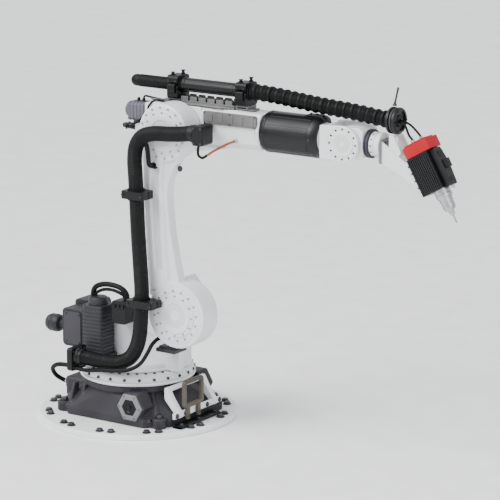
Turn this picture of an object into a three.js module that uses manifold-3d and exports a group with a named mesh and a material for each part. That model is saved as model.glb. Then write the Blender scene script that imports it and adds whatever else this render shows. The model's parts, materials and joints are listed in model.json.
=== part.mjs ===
// Six-axis articulated robot arm with a hose dress pack and a spindle tool, on a round mounting plate.
// Millimetres. +X is forward, +Y is the robot's left, +Z is up. The origin is the centre of the
// mounting plate's underside, on the first axis. The arm stands in its home pose.
import * as THREE from 'three';
import { mergeVertices } from 'three/addons/utils/BufferGeometryUtils.js';
import { ConvexGeometry } from 'three/addons/geometries/ConvexGeometry.js';
import Module from 'manifold-3d';

const wasm = await Module();
wasm.setup();

// ---------------------------------------------------------------- driving dimensions
const GAP = 0.3;                     // between pieces that touch
const RUNNING_GAP = 0.6;             // between pieces that turn on each other
const DEGREE = Math.PI / 180;

const PLATE = { radius: 558, thickness: 30, holePairs: 12, holeCircle: 505, holeRadius: 15, pairAngle: 3.8 };
const BASE = {
  rear: -380, front: 400, halfWidth: 330, corner: 130, footTop: 72,
  shoulder: 200, neckRadius: 285, flangeRadius: 312, top: 238,
};
const RING = { inner: 215, outer: 325, top: 300 };
const SHOULDER = { x: 430, z: 675, hubRadius: 185 };      // axis 2
const LINK = {
  length: 1008, lean: 4.44, near: -235, far: -95, webFar: -155, spineFar: -120, elbowRadius: 158,
};
const ELBOW = {                                           // axis 3
  x: SHOULDER.x - LINK.length * Math.sin(LINK.lean * DEGREE),
  z: SHOULDER.z + LINK.length * Math.cos(LINK.lean * DEGREE),
};
const ARM_Z = ELBOW.z + 30;                               // axis 4 and axis 6
const ARM = { rear: 60, motorFace: 126, front: 880, halfWidth: 88, farSide: 120, halfHeight: 104, bore: 60 };
const SLEEVE = { rear: 886, front: 1243, radius: 113, inner: 86, chamferX: 28, chamferR: 17 };
const WRIST = { x: ELBOW.x + 1058, cheekRadius: 95, cheekInner: 77, cheekOuter: 105 };   // axis 5
const FLANGE = { seal: 1516, sealInner: 48, sealOuter: 77, start: 1546, face: 1604, radius: 66 };
const COLUMN = { near: -80, middle: -30, far: 100, housing: 130 };
const HOSE = { radius: 42, sides: 10, y: -300 };
const WRIST_HOSE = { radius: 40, sides: 10 };
const RETRACTOR = {
  z: 1911, radius: 41, rearRadius: 35, rearEnd: -18,
  clampRear: 254, clampFront: 700, clampLength: 70, clampSeat: 1837,
};
const COLLAR = { x: 1671, z: 1847, radius: 70, halfLength: 31 };
const TOOL = { x: 1826, z: 1727, tilt: 30, bore: 24 };    // middle of the spindle's cap

// ---------------------------------------------------------------- finishes
const FINISH = {
  whitePaint: { color: 0xdfe0e0, roughness: 0.45, metalness: 0.1 },
  platePaint: { color: 0xe9eaea, roughness: 0.5, metalness: 0.1 },
  darkPaint: { color: 0x4a4951, roughness: 0.55, metalness: 0.2 },
  motorGrey: { color: 0x5d5b66, roughness: 0.5, metalness: 0.3 },
  blackPlastic: { color: 0x1b1c1d, roughness: 0.5, metalness: 0 },
  blackRubber: { color: 0x232324, roughness: 0.65, metalness: 0 },
  steel: { color: 0x9a9c9e, roughness: 0.35, metalness: 0.9 },
  bracketGrey: { color: 0x8b8984, roughness: 0.5, metalness: 0.4 },
  brownSteel: { color: 0x7d746a, roughness: 0.5, metalness: 0.5 },
  redPaint: { color: 0xc8202b, roughness: 0.4, metalness: 0.1 },
  brownCable: { color: 0x8a4a2e, roughness: 0.6, metalness: 0 },
};

// ---------------------------------------------------------------- solids
function weld(geometry) {
  const bare = new THREE.BufferGeometry();
  bare.setAttribute('position', geometry.getAttribute('position').clone());
  if (geometry.index) bare.setIndex(geometry.index.clone());
  const merged = mergeVertices(bare, 0.001);
  const kept = [];
  const index = merged.index.array;
  for (let i = 0; i < index.length; i += 3) {
    const [a, b, c] = [index[i], index[i + 1], index[i + 2]];
    if (a !== b && b !== c && c !== a) kept.push(a, b, c);
  }
  merged.setIndex(kept);
  return merged;
}

function toSolid(shape) {
  if (!(shape instanceof THREE.BufferGeometry)) return shape;
  const welded = weld(shape);
  return new wasm.Manifold(new wasm.Mesh({
    numProp: 3,
    vertProperties: new Float32Array(welded.getAttribute('position').array),
    triVerts: new Uint32Array(welded.index.array),
  }));
}

function toGeometry(shape) {
  const mesh = toSolid(shape).getMesh();
  const geometry = new THREE.BufferGeometry();
  geometry.setAttribute('position', new THREE.BufferAttribute(new Float32Array(mesh.vertProperties), 3));
  geometry.setIndex(new THREE.BufferAttribute(new Uint32Array(mesh.triVerts), 1));
  geometry.computeVertexNormals();
  return geometry;
}

function join(first, ...others) {
  return others.reduce((sum, shape) => sum.add(toSolid(shape)), toSolid(first));
}

function cut(first, ...others) {
  return others.reduce((rest, shape) => rest.subtract(toSolid(shape)), toSolid(first));
}

function box(low, high) {
  const size = high.map((value, i) => value - low[i]);
  const middle = high.map((value, i) => (value + low[i]) / 2);
  return new THREE.BoxGeometry(...size).translate(...middle);
}

// A cylinder or cone between two points; the second radius is at the end point.
function rod(start, end, radius, endRadius = radius, segments = 24) {
  const from = new THREE.Vector3(...start);
  const along = new THREE.Vector3(...end).sub(from);
  const upright = new THREE.Vector3(0, 1, 0);
  const turn = new THREE.Quaternion().setFromUnitVectors(upright, along.clone().normalize());
  const geometry = new THREE.CylinderGeometry(endRadius, radius, along.length(), segments);
  const middle = from.addScaledVector(along, 0.5);
  return geometry.applyQuaternion(turn).translate(middle.x, middle.y, middle.z);
}

function alongY(x, z, near, far, radius, segments = 24) {
  return rod([x, near, z], [x, far, z], radius, radius, segments);
}

function alongX(y, z, rear, front, radius, segments = 24) {
  return rod([rear, y, z], [front, y, z], radius, radius, segments);
}

function outline(points) {
  return new THREE.Shape(points.map(([a, b]) => new THREE.Vector2(a, b)));
}

function arc(x, y, radius, startDegrees, endDegrees, steps) {
  return Array.from({ length: steps + 1 }, (_, i) => {
    const angle = (startDegrees + (endDegrees - startDegrees) * i / steps) * DEGREE;
    return [x + radius * Math.cos(angle), y + radius * Math.sin(angle)];
  });
}

// An outline drawn in the XY plane, from one height to another.
function slabXY(points, low, high) {
  const geometry = new THREE.ExtrudeGeometry(outline(points), { depth: high - low, bevelEnabled: false });
  return geometry.translate(0, 0, low);
}

// An outline drawn in the XZ plane, across Y.
function slabXZ(points, near, far) {
  const geometry = new THREE.ExtrudeGeometry(outline(points), { depth: far - near, bevelEnabled: false });
  return geometry.rotateX(Math.PI / 2).translate(0, far, 0);
}

// An outline drawn in the YZ plane, along X.
function slabYZ(points, rear, front) {
  const geometry = new THREE.ExtrudeGeometry(outline(points), { depth: front - rear, bevelEnabled: false });
  return geometry.rotateX(Math.PI / 2).rotateZ(Math.PI / 2).translate(rear, 0, 0);
}

// The closed profile [radius, along] turned about the Z axis; it may run either way round.
function turned(profile, segments = 32) {
  const points = profile.map(([r, z]) => new THREE.Vector2(r, z));
  const ordered = THREE.ShapeUtils.isClockWise(points) ? points.reverse() : points;
  return new THREE.LatheGeometry([...ordered, ordered[0]], segments).rotateX(Math.PI / 2);
}

function turnedAlongX(profile, y, z, segments = 24) {
  return turned(profile, segments).rotateY(Math.PI / 2).translate(0, y, z);
}

function hull(...rings) {
  return new ConvexGeometry(rings.flat().map((p) => new THREE.Vector3(...p)));
}

// One stretch of a smooth route, from one of its numbered points to another.
class Stretch extends THREE.Curve {
  constructor(points, first, last) {
    super();
    this.route = new THREE.CatmullRomCurve3(points.map((p) => new THREE.Vector3(...p)));
    this.intervals = points.length - 1;
    this.first = first;
    this.last = last;
  }

  getPoint(t) {
    return this.route.getPoint((this.first + (this.last - this.first) * t) / this.intervals);
  }
}

function hose(points, radius, sides, steps, first = 0, last = points.length - 1) {
  const section = outline(arc(0, 0, radius, 0, 360 - 360 / sides, sides - 1));
  const extrudePath = new Stretch(points, first, last);
  return new THREE.ExtrudeGeometry(section, { steps, bevelEnabled: false, extrudePath });
}

// A rectangle with cut corners.
function cutRectangle(left, right, low, high, corner) {
  return [
    [left + corner, low], [right - corner, low], [right, low + corner], [right, high - corner],
    [right - corner, high], [left + corner, high], [left, high - corner], [left, low + corner],
  ];
}

function atHeight(points, z) {
  return points.map(([x, y]) => [x, y, z]);
}

function piece(name, finish, shape) {
  const mesh = new THREE.Mesh(toGeometry(shape), new THREE.MeshStandardMaterial(FINISH[finish]));
  mesh.name = name;
  return mesh;
}

// ---------------------------------------------------------------- base
function mountingPlate() {
  const disc = rod([0, 0, 0], [0, 0, PLATE.thickness], PLATE.radius, PLATE.radius, 48);
  const holes = [];
  for (let pair = 0; pair < PLATE.holePairs; pair += 1) {
    for (const side of [-1, 1]) {
      const angle = ((pair + 0.5) * 360 / PLATE.holePairs + side * PLATE.pairAngle) * DEGREE;
      const x = PLATE.holeCircle * Math.cos(angle);
      const y = PLATE.holeCircle * Math.sin(angle);
      holes.push(rod([x, y, -1], [x, y, PLATE.thickness + 1], PLATE.holeRadius, PLATE.holeRadius, 8));
    }
  }
  return cut(disc, ...holes);
}

const SIDE_COVER = { x: 192, z: 142, radius: 85, near: -352, seat: -338, hole: 46 };

function hexagon(x, z, radius) {
  return arc(x, z, radius, 0, 300, 5);
}

function baseFrame() {
  const foot = PLATE.thickness + GAP;
  const bottom = cutRectangle(BASE.rear, BASE.front, -BASE.halfWidth, BASE.halfWidth, BASE.corner);
  const wall = 60;
  const innerHalf = BASE.halfWidth - wall;
  const inner = cutRectangle(BASE.rear + wall, BASE.front - wall, -innerHalf, innerHalf, BASE.corner);
  const neck = arc(0, 0, BASE.neckRadius, 0, 345, 23);
  const innerNeck = arc(0, 0, BASE.neckRadius - 45, 0, 345, 23);
  const casting = join(
    slabXY(bottom, foot, BASE.footTop),
    hull(atHeight(bottom, BASE.footTop - 1), atHeight(neck, BASE.shoulder)),
    rod([0, 0, BASE.shoulder - 1], [0, 0, BASE.top], BASE.flangeRadius, BASE.flangeRadius, 40),
    slabXZ(hexagon(SIDE_COVER.x, SIDE_COVER.z, SIDE_COVER.radius + 6), SIDE_COVER.seat, -240),
    slabXZ(hexagon(SIDE_COVER.x, SIDE_COVER.z, SIDE_COVER.radius + 6), 240, -SIDE_COVER.seat),
    slabYZ(cutRectangle(-162, 162, BASE.footTop - 1, 192, 14), BASE.rear, 130 + BASE.rear),
  );
  return cut(
    casting,
    hull(atHeight(inner, foot - 1), atHeight(innerNeck, BASE.shoulder - 25)),
    rod([0, 0, BASE.shoulder - 30], [0, 0, BASE.top + 1], 205, 205, 32),
    slabYZ(cutRectangle(-120, 120, 90, 170, 12), BASE.rear - 1, BASE.rear + 150),
  );
}

function sideCover() {
  const { x, z, radius, near, seat, hole } = SIDE_COVER;
  return cut(
    slabXZ(hexagon(x, z, radius), near, seat - GAP),
    alongY(x, z, near - 1, seat - 8, hole, 16),
  );
}

function connectorPanel() {
  const back = BASE.rear - GAP;
  return join(
    slabYZ(cutRectangle(-150, 150, 76, 186, 14), back - 16, back),
    box([back - 62, -110, 100], [back - 15, -30, 165]),
    box([back - 52, 20, 105], [back - 15, 70, 160]),
    alongX(105, 132, back - 48, back - 15, 20, 12),
  );
}

const BASE_CABLE = [
  [-443, -70, 132], [-468, -70, 132], [-503, -110, 170], [-500, -140, 215], [-455, -158, 247],
  [-385, -160, 256], [-336, -150, 251],
];

// A frame that lies on the sloping front of the base, with a bar along its foot.
const FRONT_FRAME = { halfWidth: 185, window: 150, low: 73, front: 414 };

function frontPlate() {
  const { halfWidth, window, low, front } = FRONT_FRAME;
  const foot = PLATE.thickness + GAP;
  const wedge = slabXZ([
    [BASE.front + 1, low], [front, low], [front, 108], [362, 180], [331, 236], [313, 236], [313, 180],
    [317, 167],
  ], -halfWidth, halfWidth);
  return join(
    cut(wedge, slabYZ(cutRectangle(-window, window, 112, 212, 10), 280, front + 1)),
    box([BASE.front + GAP, -230, foot], [front, 230, 100]),
    box([BASE.front + GAP, -230, foot], [BASE.front + 62, 150, 46]),
  );
}

function forkLoop() {
  const rear = FRONT_FRAME.front + GAP;
  const front = rear + 24;
  const loop = cut(
    slabYZ(cutRectangle(-163, 23, 128, 286, 18), rear, front),
    slabYZ(cutRectangle(-139, -1, 152, 262, 10), rear - 1, front + 1),
  );
  return join(loop, box([rear, -135, 62], [front, -107, 130]), box([rear, -33, 62], [front, -5, 130]));
}

function firstAxisGear() {
  return turned([[0, 100], [150, 100], [150, 165], [196, 165], [196, 236], [0, 236]], 32);
}

// ---------------------------------------------------------------- column
function turretRing() {
  const bottom = BASE.top + RUNNING_GAP;
  return turned([
    [RING.inner, bottom], [RING.outer, bottom], [RING.outer, RING.top - 12], [RING.outer - 12, RING.top],
    [RING.inner, RING.top],
  ], 48);
}

const SECOND_GEAR = { flange: 128, body: 92, inner: -44 };

function columnCasting() {
  const low = RING.top + GAP;
  const shelf = FIRST_MOTOR.bottom;
  const back = [[330, 836], [210, 770], [110, 690], [-100, 660], [-232, 560], [-232, low]];
  const rounded = [[545, 690], [520, 770], [450, 825]];
  const nearSide = [[344, low], [344, 440], [400, 490], [540, 560], ...rounded, ...back];
  const farSide = [[300, low], [300, 430], [392, 560], [392, 760], ...back];
  const casting = join(
    rod([0, 0, low], [0, 0, shelf], 256, 256, 40),
    slabXZ(nearSide, COLUMN.near, COLUMN.middle),
    slabXZ(farSide, COLUMN.middle - 1, COLUMN.far),
    alongY(SHOULDER.x, SHOULDER.z, COLUMN.near, COLUMN.middle, COLUMN.housing, 32),
    slabXY(cutRectangle(-236, -50, -256, -60, 30), low, shelf),
  );
  const { inner, body: recess } = SECOND_GEAR;
  return cut(casting, alongY(SHOULDER.x, SHOULDER.z, COLUMN.near - 1, inner + 1, recess + 1, 24));
}

function secondAxisGear() {
  return join(
    alongY(SHOULDER.x, SHOULDER.z, LINK.far + RUNNING_GAP, COLUMN.near - GAP, SECOND_GEAR.flange, 28),
    alongY(SHOULDER.x, SHOULDER.z, COLUMN.near - 1, SECOND_GEAR.inner, SECOND_GEAR.body, 24),
  );
}

const FIRST_MOTOR = { x: -150, y: -165, bottom: 346, top: 648 };

function firstAxisMotor() {
  const { x, y, bottom, top } = FIRST_MOTOR;
  return join(
    box([x - 76, y - 76, bottom + GAP], [x + 76, y + 76, bottom + 34]),
    slabXY(cutRectangle(x - 70, x + 70, y - 70, y + 70, 24), bottom + 33, top),
    rod([x, y, top - 1], [x, y, top + 44], 56, 56, 20),
  );
}

const SECOND_MOTOR = { x: 228, z: 592, body: 120 };

function secondAxisMotor() {
  const { x, z, body: length } = SECOND_MOTOR;
  const near = COLUMN.far + GAP;
  return join(
    alongY(x, z, near, near + 26, 100, 24),
    slabXZ(cutRectangle(x - 72, x + 72, z - 72, z + 72, 26), near + 25, near + 25 + length),
    alongY(x, z, near + 24 + length, near + 55 + length, 54, 20),
  );
}

const JUNCTION = { rear: -388, front: -232.3, near: -190, far: 70, low: 348, high: 628 };

function junctionBox() {
  return join(
    slabXZ(cutRectangle(JUNCTION.rear, JUNCTION.front, JUNCTION.low, JUNCTION.high, 26), -72, JUNCTION.far),
    slabXZ(cutRectangle(JUNCTION.rear, JUNCTION.front - 4, 380, 600, 26), JUNCTION.near, -71),
  );
}

function rearGland() {
  const seat = JUNCTION.rear - GAP;
  return turnedAlongX([
    [0, seat], [36, seat], [36, seat - 20], [26, seat - 26], [26, seat - 104], [46, seat - 112],
    [52, seat - 124], [52, seat - 176], [40, seat - 194], [0, seat - 198],
  ], -62, 462, 18);
}

const CABLE_BLOCK = { left: -34, right: 62, near: -196, far: -92, low: 560, high: 690 };

function cableBlock() {
  const { left, right, near, far, low, high } = CABLE_BLOCK;
  return join(
    slabXZ(cutRectangle(left, right, low, high, 14), near, far),
    box([left + 20, far - 1, low + 20], [right - 20, COLUMN.near - GAP, low + 70]),
  );
}

const CABLE_ARCH = [
  [-184, -165, 692.5], [-184, -165, 712], [-168, -163, 742], [-122, -160, 762], [-62, -157, 766],
  [-4, -154, 756], [28, -150, 734], [36, -147, 712], [36, -147, 690.5],
];

const HOSE_BRACKET = { rear: -204, front: -168, near: -392, far: -256.3, low: 302, high: 432 };

function hoseBracket() {
  const { rear, front, near, far, low, high } = HOSE_BRACKET;
  return slabYZ(cutRectangle(near, far, low, high, 16), rear, front);
}

// The main hose, from the column up the link arm and over the elbow. The numbers are points of the route.
const MAIN_HOSE = [
  [-167, -332, 378], [-90, -332, 378], [20, -330, 375], [110, -324, 384], [176, -313, 418], [214, -306, 478],
  [234, -302, 550], [242, -300, 640], [247, -300, 740], [250, -300, 800], [241, -300, 950], [228, -300, 1150],
  [220, -300, 1340], [214, -300, 1450], [210, -300, 1530], [222, -300, 1606], [262, -300, 1660],
  [330, -300, 1684], [430, -299, 1692], [520, -298, 1701], [586, -297, 1711], [617.2, -297, 1711],
];
const HOSE_SPLIT = { shoulder: 5, arm: 9, elbow: 13, gap: 0.006 };
const LOWER_CABLE = [
  [296, COLUMN.near - GAP, 520], [296, -120, 520], [296, -170, 521], [294, -225, 518], [288, -262, 496],
  [280, -292, 456], [256, -326, 400], [204, -352, 364], [110, -371, 346], [20, -378, 338], [-80, -368, 318],
  [-167, -366, 318],
];

// ---------------------------------------------------------------- link arm
function linkArmCasting() {
  const front = [
    [450, 830], [425, 930], [410, 1003], [386, 1127], [372, 1253], [366, 1340], [380, 1418], [416, 1493],
    [478, 1590],
  ];
  const rear = [[202, 1640], [203, 1560], [208, 1400], [222, 1100], [236, 860], [246, 760]];
  const web = slabXZ([...front, ...rear], LINK.near + 14, LINK.webFar);
  const spine = slabXZ([
    [380, 830], [366, 1000], [338, 1400], [350, 1560], [240, 1560], [240, 1400], [256, 1000], [262, 800],
  ], LINK.near, LINK.spineFar);
  return join(
    alongY(SHOULDER.x, SHOULDER.z, LINK.near, LINK.far, SHOULDER.hubRadius, 36),
    alongY(ELBOW.x, ELBOW.z, LINK.near, LINK.far, LINK.elbowRadius, 36),
    web,
    spine,
  );
}

function hubCover(x, z, radius) {
  const seat = LINK.near - GAP;
  return join(
    alongY(x, z, seat - 8, seat, radius, 28),
    alongY(x, z, seat - 13, seat - 7, radius - 22, 28),
  );
}

function strapClamp(x, z, halfHeight, reach, lean) {
  const seat = LINK.near - GAP;
  const block = join(
    slabXZ(cutRectangle(x - 64, x + reach, z - halfHeight, z + halfHeight, 10), -356, -252),
    box([x + 18, -253, z - halfHeight + 4], [x + 42, seat, z + halfHeight - 4]),
  );
  const hole = HOSE.radius + 3;
  return cut(block, rod(
    [x - lean, HOSE.y, z - halfHeight - 9], [x + lean, HOSE.y, z + halfHeight + 9], hole, hole, 16,
  ));
}

// ---------------------------------------------------------------- forearm
const THIRD_AXIS = { boss: 130, flange: 126, body: 100, inner: -32 };

function forearmCasting() {
  const { rear, motorFace, front, halfWidth, farSide } = ARM;
  const profile = [
    [rear, ARM_Z - 76], [100, ARM_Z - 112], [180, ARM_Z - 132], [420, ARM_Z - 150], [560, ARM_Z - 128],
    [700, ARM_Z - 104], [front, ARM_Z - 100], [front, ARM_Z + 96], [640, ARM_Z + 102], [170, ARM_Z + 102],
    [motorFace, ARM_Z + 92], [motorFace, ARM_Z - 31], [rear, ARM_Z - 31],
  ];
  const wedgeEnd = (x, inward, height, side, up) => [
    [x, side * inward, ARM_Z + up * 110], [x, side * 92, ARM_Z + up * 110], [x, side * 92, ARM_Z + up * height],
  ];
  const bevels = [-1, 1].flatMap((side) => [-1, 1].map((up) => hull(
    wedgeEnd(500, 60, 70, side, up),
    wedgeEnd(890, 52, 62, side, up),
  )));
  const body = cut(
    slabXZ(profile, -halfWidth, farSide),
    box([600, halfWidth, 1500], [900, farSide + 1, 1900]),
    ...bevels,
  );
  return cut(
    join(body, alongY(ELBOW.x, ELBOW.z, -halfWidth, farSide + 10, THIRD_AXIS.boss, 32)),
    alongY(ELBOW.x, ELBOW.z, -halfWidth - 1, THIRD_AXIS.inner + 4, THIRD_AXIS.body + 1, 24),
    alongX(0, ARM_Z, motorFace - 1, front + 1, ARM.bore / 2, 16),
  );
}

function thirdAxisGear() {
  return join(
    alongY(ELBOW.x, ELBOW.z, LINK.far + RUNNING_GAP, -ARM.halfWidth - GAP, THIRD_AXIS.flange, 28),
    alongY(ELBOW.x, ELBOW.z, -ARM.halfWidth - 1, THIRD_AXIS.inner, THIRD_AXIS.body, 24),
  );
}

function thirdAxisMotor() {
  const near = ARM.farSide + 10 + GAP;
  return join(
    alongY(ELBOW.x, ELBOW.z, near, near + 26, 98, 24),
    slabXZ(cutRectangle(ELBOW.x - 66, ELBOW.x + 66, ELBOW.z - 66, ELBOW.z + 66, 22), near + 25, near + 190),
    alongY(ELBOW.x, ELBOW.z, near + 189, near + 226, 50, 20),
  );
}

const WRIST_MOTORS = {
  a4_motor: { seat: ARM.motorFace, y: -8, z: ARM_Z + 30, half: 58, rear: -40 },
  a5_motor: { seat: ARM.rear, y: -50, z: ARM_Z - 53, half: 19, rear: -46 },
  a6_motor: { seat: ARM.rear, y: 50, z: ARM_Z - 53, half: 19, rear: -46 },
};

function wristMotor({ seat, y, z, half, rear }) {
  const front = seat - GAP;
  return join(
    alongX(y, z, front - 14, front, half + 1, 20),
    slabYZ(cutRectangle(y - half, y + half, z - half, z + half, half * 0.36), rear + 28, front - 13),
    alongX(y, z, rear, rear + 29, half * 0.8, 16),
  );
}

function driveShafts() {
  return alongX(0, ARM_Z, ARM.motorFace + 20, ARM.front - 4, ARM.bore / 2 - 3, 14);
}

const SIDE_CLAMP = { rear: 618, front: 690, near: -346, far: -246, low: ARM_Z - 54, high: ARM_Z + 54 };

function sideHoseClamp() {
  const { rear, front, near, far, low, high } = SIDE_CLAMP;
  const seat = -ARM.halfWidth - GAP;
  const foot = [[rear + 14, far - 1], [front - 10, far - 1], [front - 118, seat], [rear - 98, seat]];
  return join(
    slabXZ(cutRectangle(rear, front, low, high, 16), near, far),
    slabXY(foot, low + 22, high - 30),
  );
}

const SIGNAL_CABLE = [
  [634, -300, SIDE_CLAMP.low - GAP], [629, -300, 1626], [632, -300, 1598], [654, -298, 1586],
  [682, -292, 1602], [704, -274, 1620], [722, -236, 1636], [732, -190, 1648], [732, -150, 1652],
  [731, -116, 1653], [731, -ARM.halfWidth - GAP, 1653],
];

function retractorRail() {
  const low = ARM_Z + 102 + GAP;
  return join(
    box([196, -34, low], [806, 34, low + 8]),
    box([RETRACTOR.clampRear - 4, -44, low + 7], [RETRACTOR.clampRear + 74, 44, RETRACTOR.clampSeat]),
    box([RETRACTOR.clampFront - 4, -44, low + 7], [RETRACTOR.clampFront + 80, 44, RETRACTOR.clampSeat]),
    box([420, -8, low + 7], [600, 8, 1846]),
  );
}

function retractorClamp(rear) {
  const front = rear + RETRACTOR.clampLength;
  const { z, clampSeat } = RETRACTOR;
  return join(
    slabYZ(cutRectangle(-58, 58, clampSeat + GAP, z + 52, 18), rear, front),
    rod([rear + 48, 30, z + 51], [rear + 48, 30, z + 74], 12, 12, 8),
    rod([rear + 22, -30, z + 51], [rear + 22, -30, z + 68], 12, 12, 8),
    box([rear + 12, -70, z - 44], [front - 12, -56, z + 6]),
  );
}

function retractorTube() {
  const rear = RETRACTOR.clampRear + RETRACTOR.clampLength + GAP;
  return alongX(0, RETRACTOR.z, rear, RETRACTOR.clampFront - GAP, RETRACTOR.radius, 18);
}

function retractorRearCap() {
  const front = RETRACTOR.clampRear - GAP;
  const { rearEnd, rearRadius, z } = RETRACTOR;
  return turnedAlongX([
    [0, rearEnd], [20, rearEnd + 5], [31, rearEnd + 16], [rearRadius, rearEnd + 32], [rearRadius, front],
    [0, front],
  ], 0, z - 5, 18);
}

// The dress-pack hose, from the retractor over the wrist to the tool. The numbers are points of the route.
const TOOL_HOSE = [
  [770.4, 0, 1911], [830, 0, 1911], [930, 0, 1906], [1050, 0, 1895], [1170, 0, 1884], [1290, 0, 1875],
  [1400, 0, 1868], [1490, 0, 1860], [1560, 0, 1852], [1610, 0, 1848],
  [COLLAR.x - COLLAR.halfLength - 1, 0, 1848],
];
const TOOL_HOSE_SPLIT = { wrist: 5, hand: 7, gap: 0.006 };

// ---------------------------------------------------------------- wrist
function wristHousing() {
  const { x, cheekRadius, cheekInner, cheekOuter } = WRIST;
  const blockFront = x - cheekRadius - 6;
  const low = ARM_Z - 92;
  const high = ARM_Z + 88;
  const side = [
    [blockFront - 40, low], [x, ARM_Z - cheekRadius], [x, ARM_Z + cheekRadius], [blockFront - 40, high],
  ];
  const cheek = (near, far) => join(slabXZ(side, near, far), alongY(x, ARM_Z, near, far, cheekRadius, 28));
  return join(
    alongX(0, ARM_Z, ARM.front + RUNNING_GAP, SLEEVE.front, 83, 24),
    rod([SLEEVE.front - 1, 0, ARM_Z], [blockFront - 30, 0, ARM_Z], 66, 82, 24),
    slabXZ([
      [blockFront - 42, ARM_Z - 70], [blockFront - 20, low], [blockFront, low], [blockFront, high],
      [blockFront - 20, high], [blockFront - 42, ARM_Z + 70],
    ], -cheekOuter, cheekOuter),
    cheek(-cheekOuter, -cheekInner),
    cheek(cheekInner, cheekOuter),
  );
}

function wristSleeve() {
  const { rear, front, radius, inner, chamferX, chamferR } = SLEEVE;
  return turnedAlongX([
    [inner, rear], [radius - 9, rear], [radius, rear + 10], [radius, front - chamferX],
    [radius - chamferR, front], [inner, front],
  ], 0, ARM_Z, 24);
}

function sleeveHood() {
  const top = ARM_Z + SLEEVE.radius;
  return slabXZ([
    [1118, top + 0.6], [1214, top + 0.6], [1240, top - 14], [1252, top - 26], [1263, top - 22],
    [1252, top - 4], [1236, top + 5], [1206, top + 9], [1150, top + 8],
  ], -26, 26);
}

// ---------------------------------------------------------------- hand and tool flange
function handHousing() {
  const { x, cheekInner } = WRIST;
  const half = cheekInner - 1.5;
  return join(
    alongY(x, ARM_Z, -half, half, 86, 28),
    slabXZ([
      [x, ARM_Z - 84], [x + 70, ARM_Z - 80], [FLANGE.seal - GAP, ARM_Z - 70], [FLANGE.seal - GAP, ARM_Z + 72],
      [x + 78, ARM_Z + 88], [x, ARM_Z + 86],
    ], -half, half),
  );
}

function flangeSealRing() {
  const { seal: rear, start, sealInner, sealOuter } = FLANGE;
  const front = start - 4;
  const section = [[sealInner, rear], [sealOuter, rear], [sealOuter, front], [sealInner, front]];
  return turnedAlongX(section, 0, ARM_Z, 28);
}

function toolFlange() {
  return turnedAlongX([
    [0, FLANGE.seal + 4], [46, FLANGE.seal + 4], [46, FLANGE.start - 3], [FLANGE.radius, FLANGE.start - 3],
    [FLANGE.radius, FLANGE.face], [0, FLANGE.face],
  ], 0, ARM_Z, 28);
}

// The spindle's own frame: X towards its side box, Z back along its axis, tilted forward.
function tilted(shape) {
  const turn = new THREE.Matrix4().makeRotationY(-TOOL.tilt * DEGREE);
  const place = new THREE.Matrix4().makeTranslation(TOOL.x, 0, TOOL.z).multiply(turn);
  return toGeometry(shape).applyMatrix4(place);
}

function fromTool(x, z) {
  const cos = Math.cos(TOOL.tilt * DEGREE);
  const sin = Math.sin(TOOL.tilt * DEGREE);
  return [TOOL.x + x * cos - z * sin, TOOL.z + x * sin + z * cos];
}

const SPINDLE = {
  back: -84, front: 52, halfWidth: 62, capLow: -36, capHigh: 34, bodyLow: -245, noseLow: -362,
};

function toolBracket() {
  const face = FLANGE.face + GAP;
  const plate = slabYZ(cutRectangle(-60, 60, ARM_Z - 92, ARM_Z + 34, 14), face, face + 12);
  const back = SPINDLE.back - GAP;
  const pad = [[-98, -40], [back, -40], [back, -215], [-98, -215]].map(([x, z]) => fromTool(x, z));
  const web = [
    [face + 10, ARM_Z - 84], [face + 10, ARM_Z + 26], fromTool(-97, -44), fromTool(-97, -190),
  ].reverse();
  return join(plate, slabXZ(pad, -50, 50), slabXZ(web, -50, -36), slabXZ(web, 36, 50));
}

function hoseSupport() {
  const low = COLLAR.z - COLLAR.radius;
  const rear = COLLAR.x - 11;
  const front = COLLAR.x + 11;
  const neck = slabXZ([[rear, low - 8], [front, low - 8], [front, COLLAR.z], [rear, COLLAR.z]], -34, 34);
  const arm = slabXZ([
    [rear, 1707.6], [1722, 1667.9], [1732, 1694], [front + 6, low - 7], [rear, low - 7],
  ], -50, 50);
  const ring = alongX(0, COLLAR.z, rear, front, COLLAR.radius + 6, 24);
  return cut(join(ring, neck, arm), alongX(0, COLLAR.z, rear - 1, front + 1, 52, 20));
}

function hoseCollar() {
  const { x, z, radius, halfLength } = COLLAR;
  return turnedAlongX([
    [0, x - halfLength], [radius - 8, x - halfLength], [radius, x - halfLength + 6], [radius, x - 11 - GAP],
    [50, x - 11 - GAP], [50, x + 11 + GAP], [radius, x + 11 + GAP], [radius, x + halfLength - 6],
    [radius - 10, x + halfLength], [0, x + halfLength],
  ], 0, z, 24);
}

function statusRod() {
  const { x, z, radius } = COLLAR;
  const seat = z + radius + 6.4;
  return join(
    rod([x - 3, 0, seat], [x - 3, 0, seat + 10], 12, 12, 10),
    rod([x - 4, 0, seat + 6], [x + 14, 0, 2022], 7, 5, 10),
  );
}

function spindleCap() {
  const { back, front, halfWidth, capLow, capHigh } = SPINDLE;
  return tilted(slabXZ(cutRectangle(back + 4, front + 26, capLow, capHigh, 9), -halfWidth, halfWidth));
}

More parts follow.
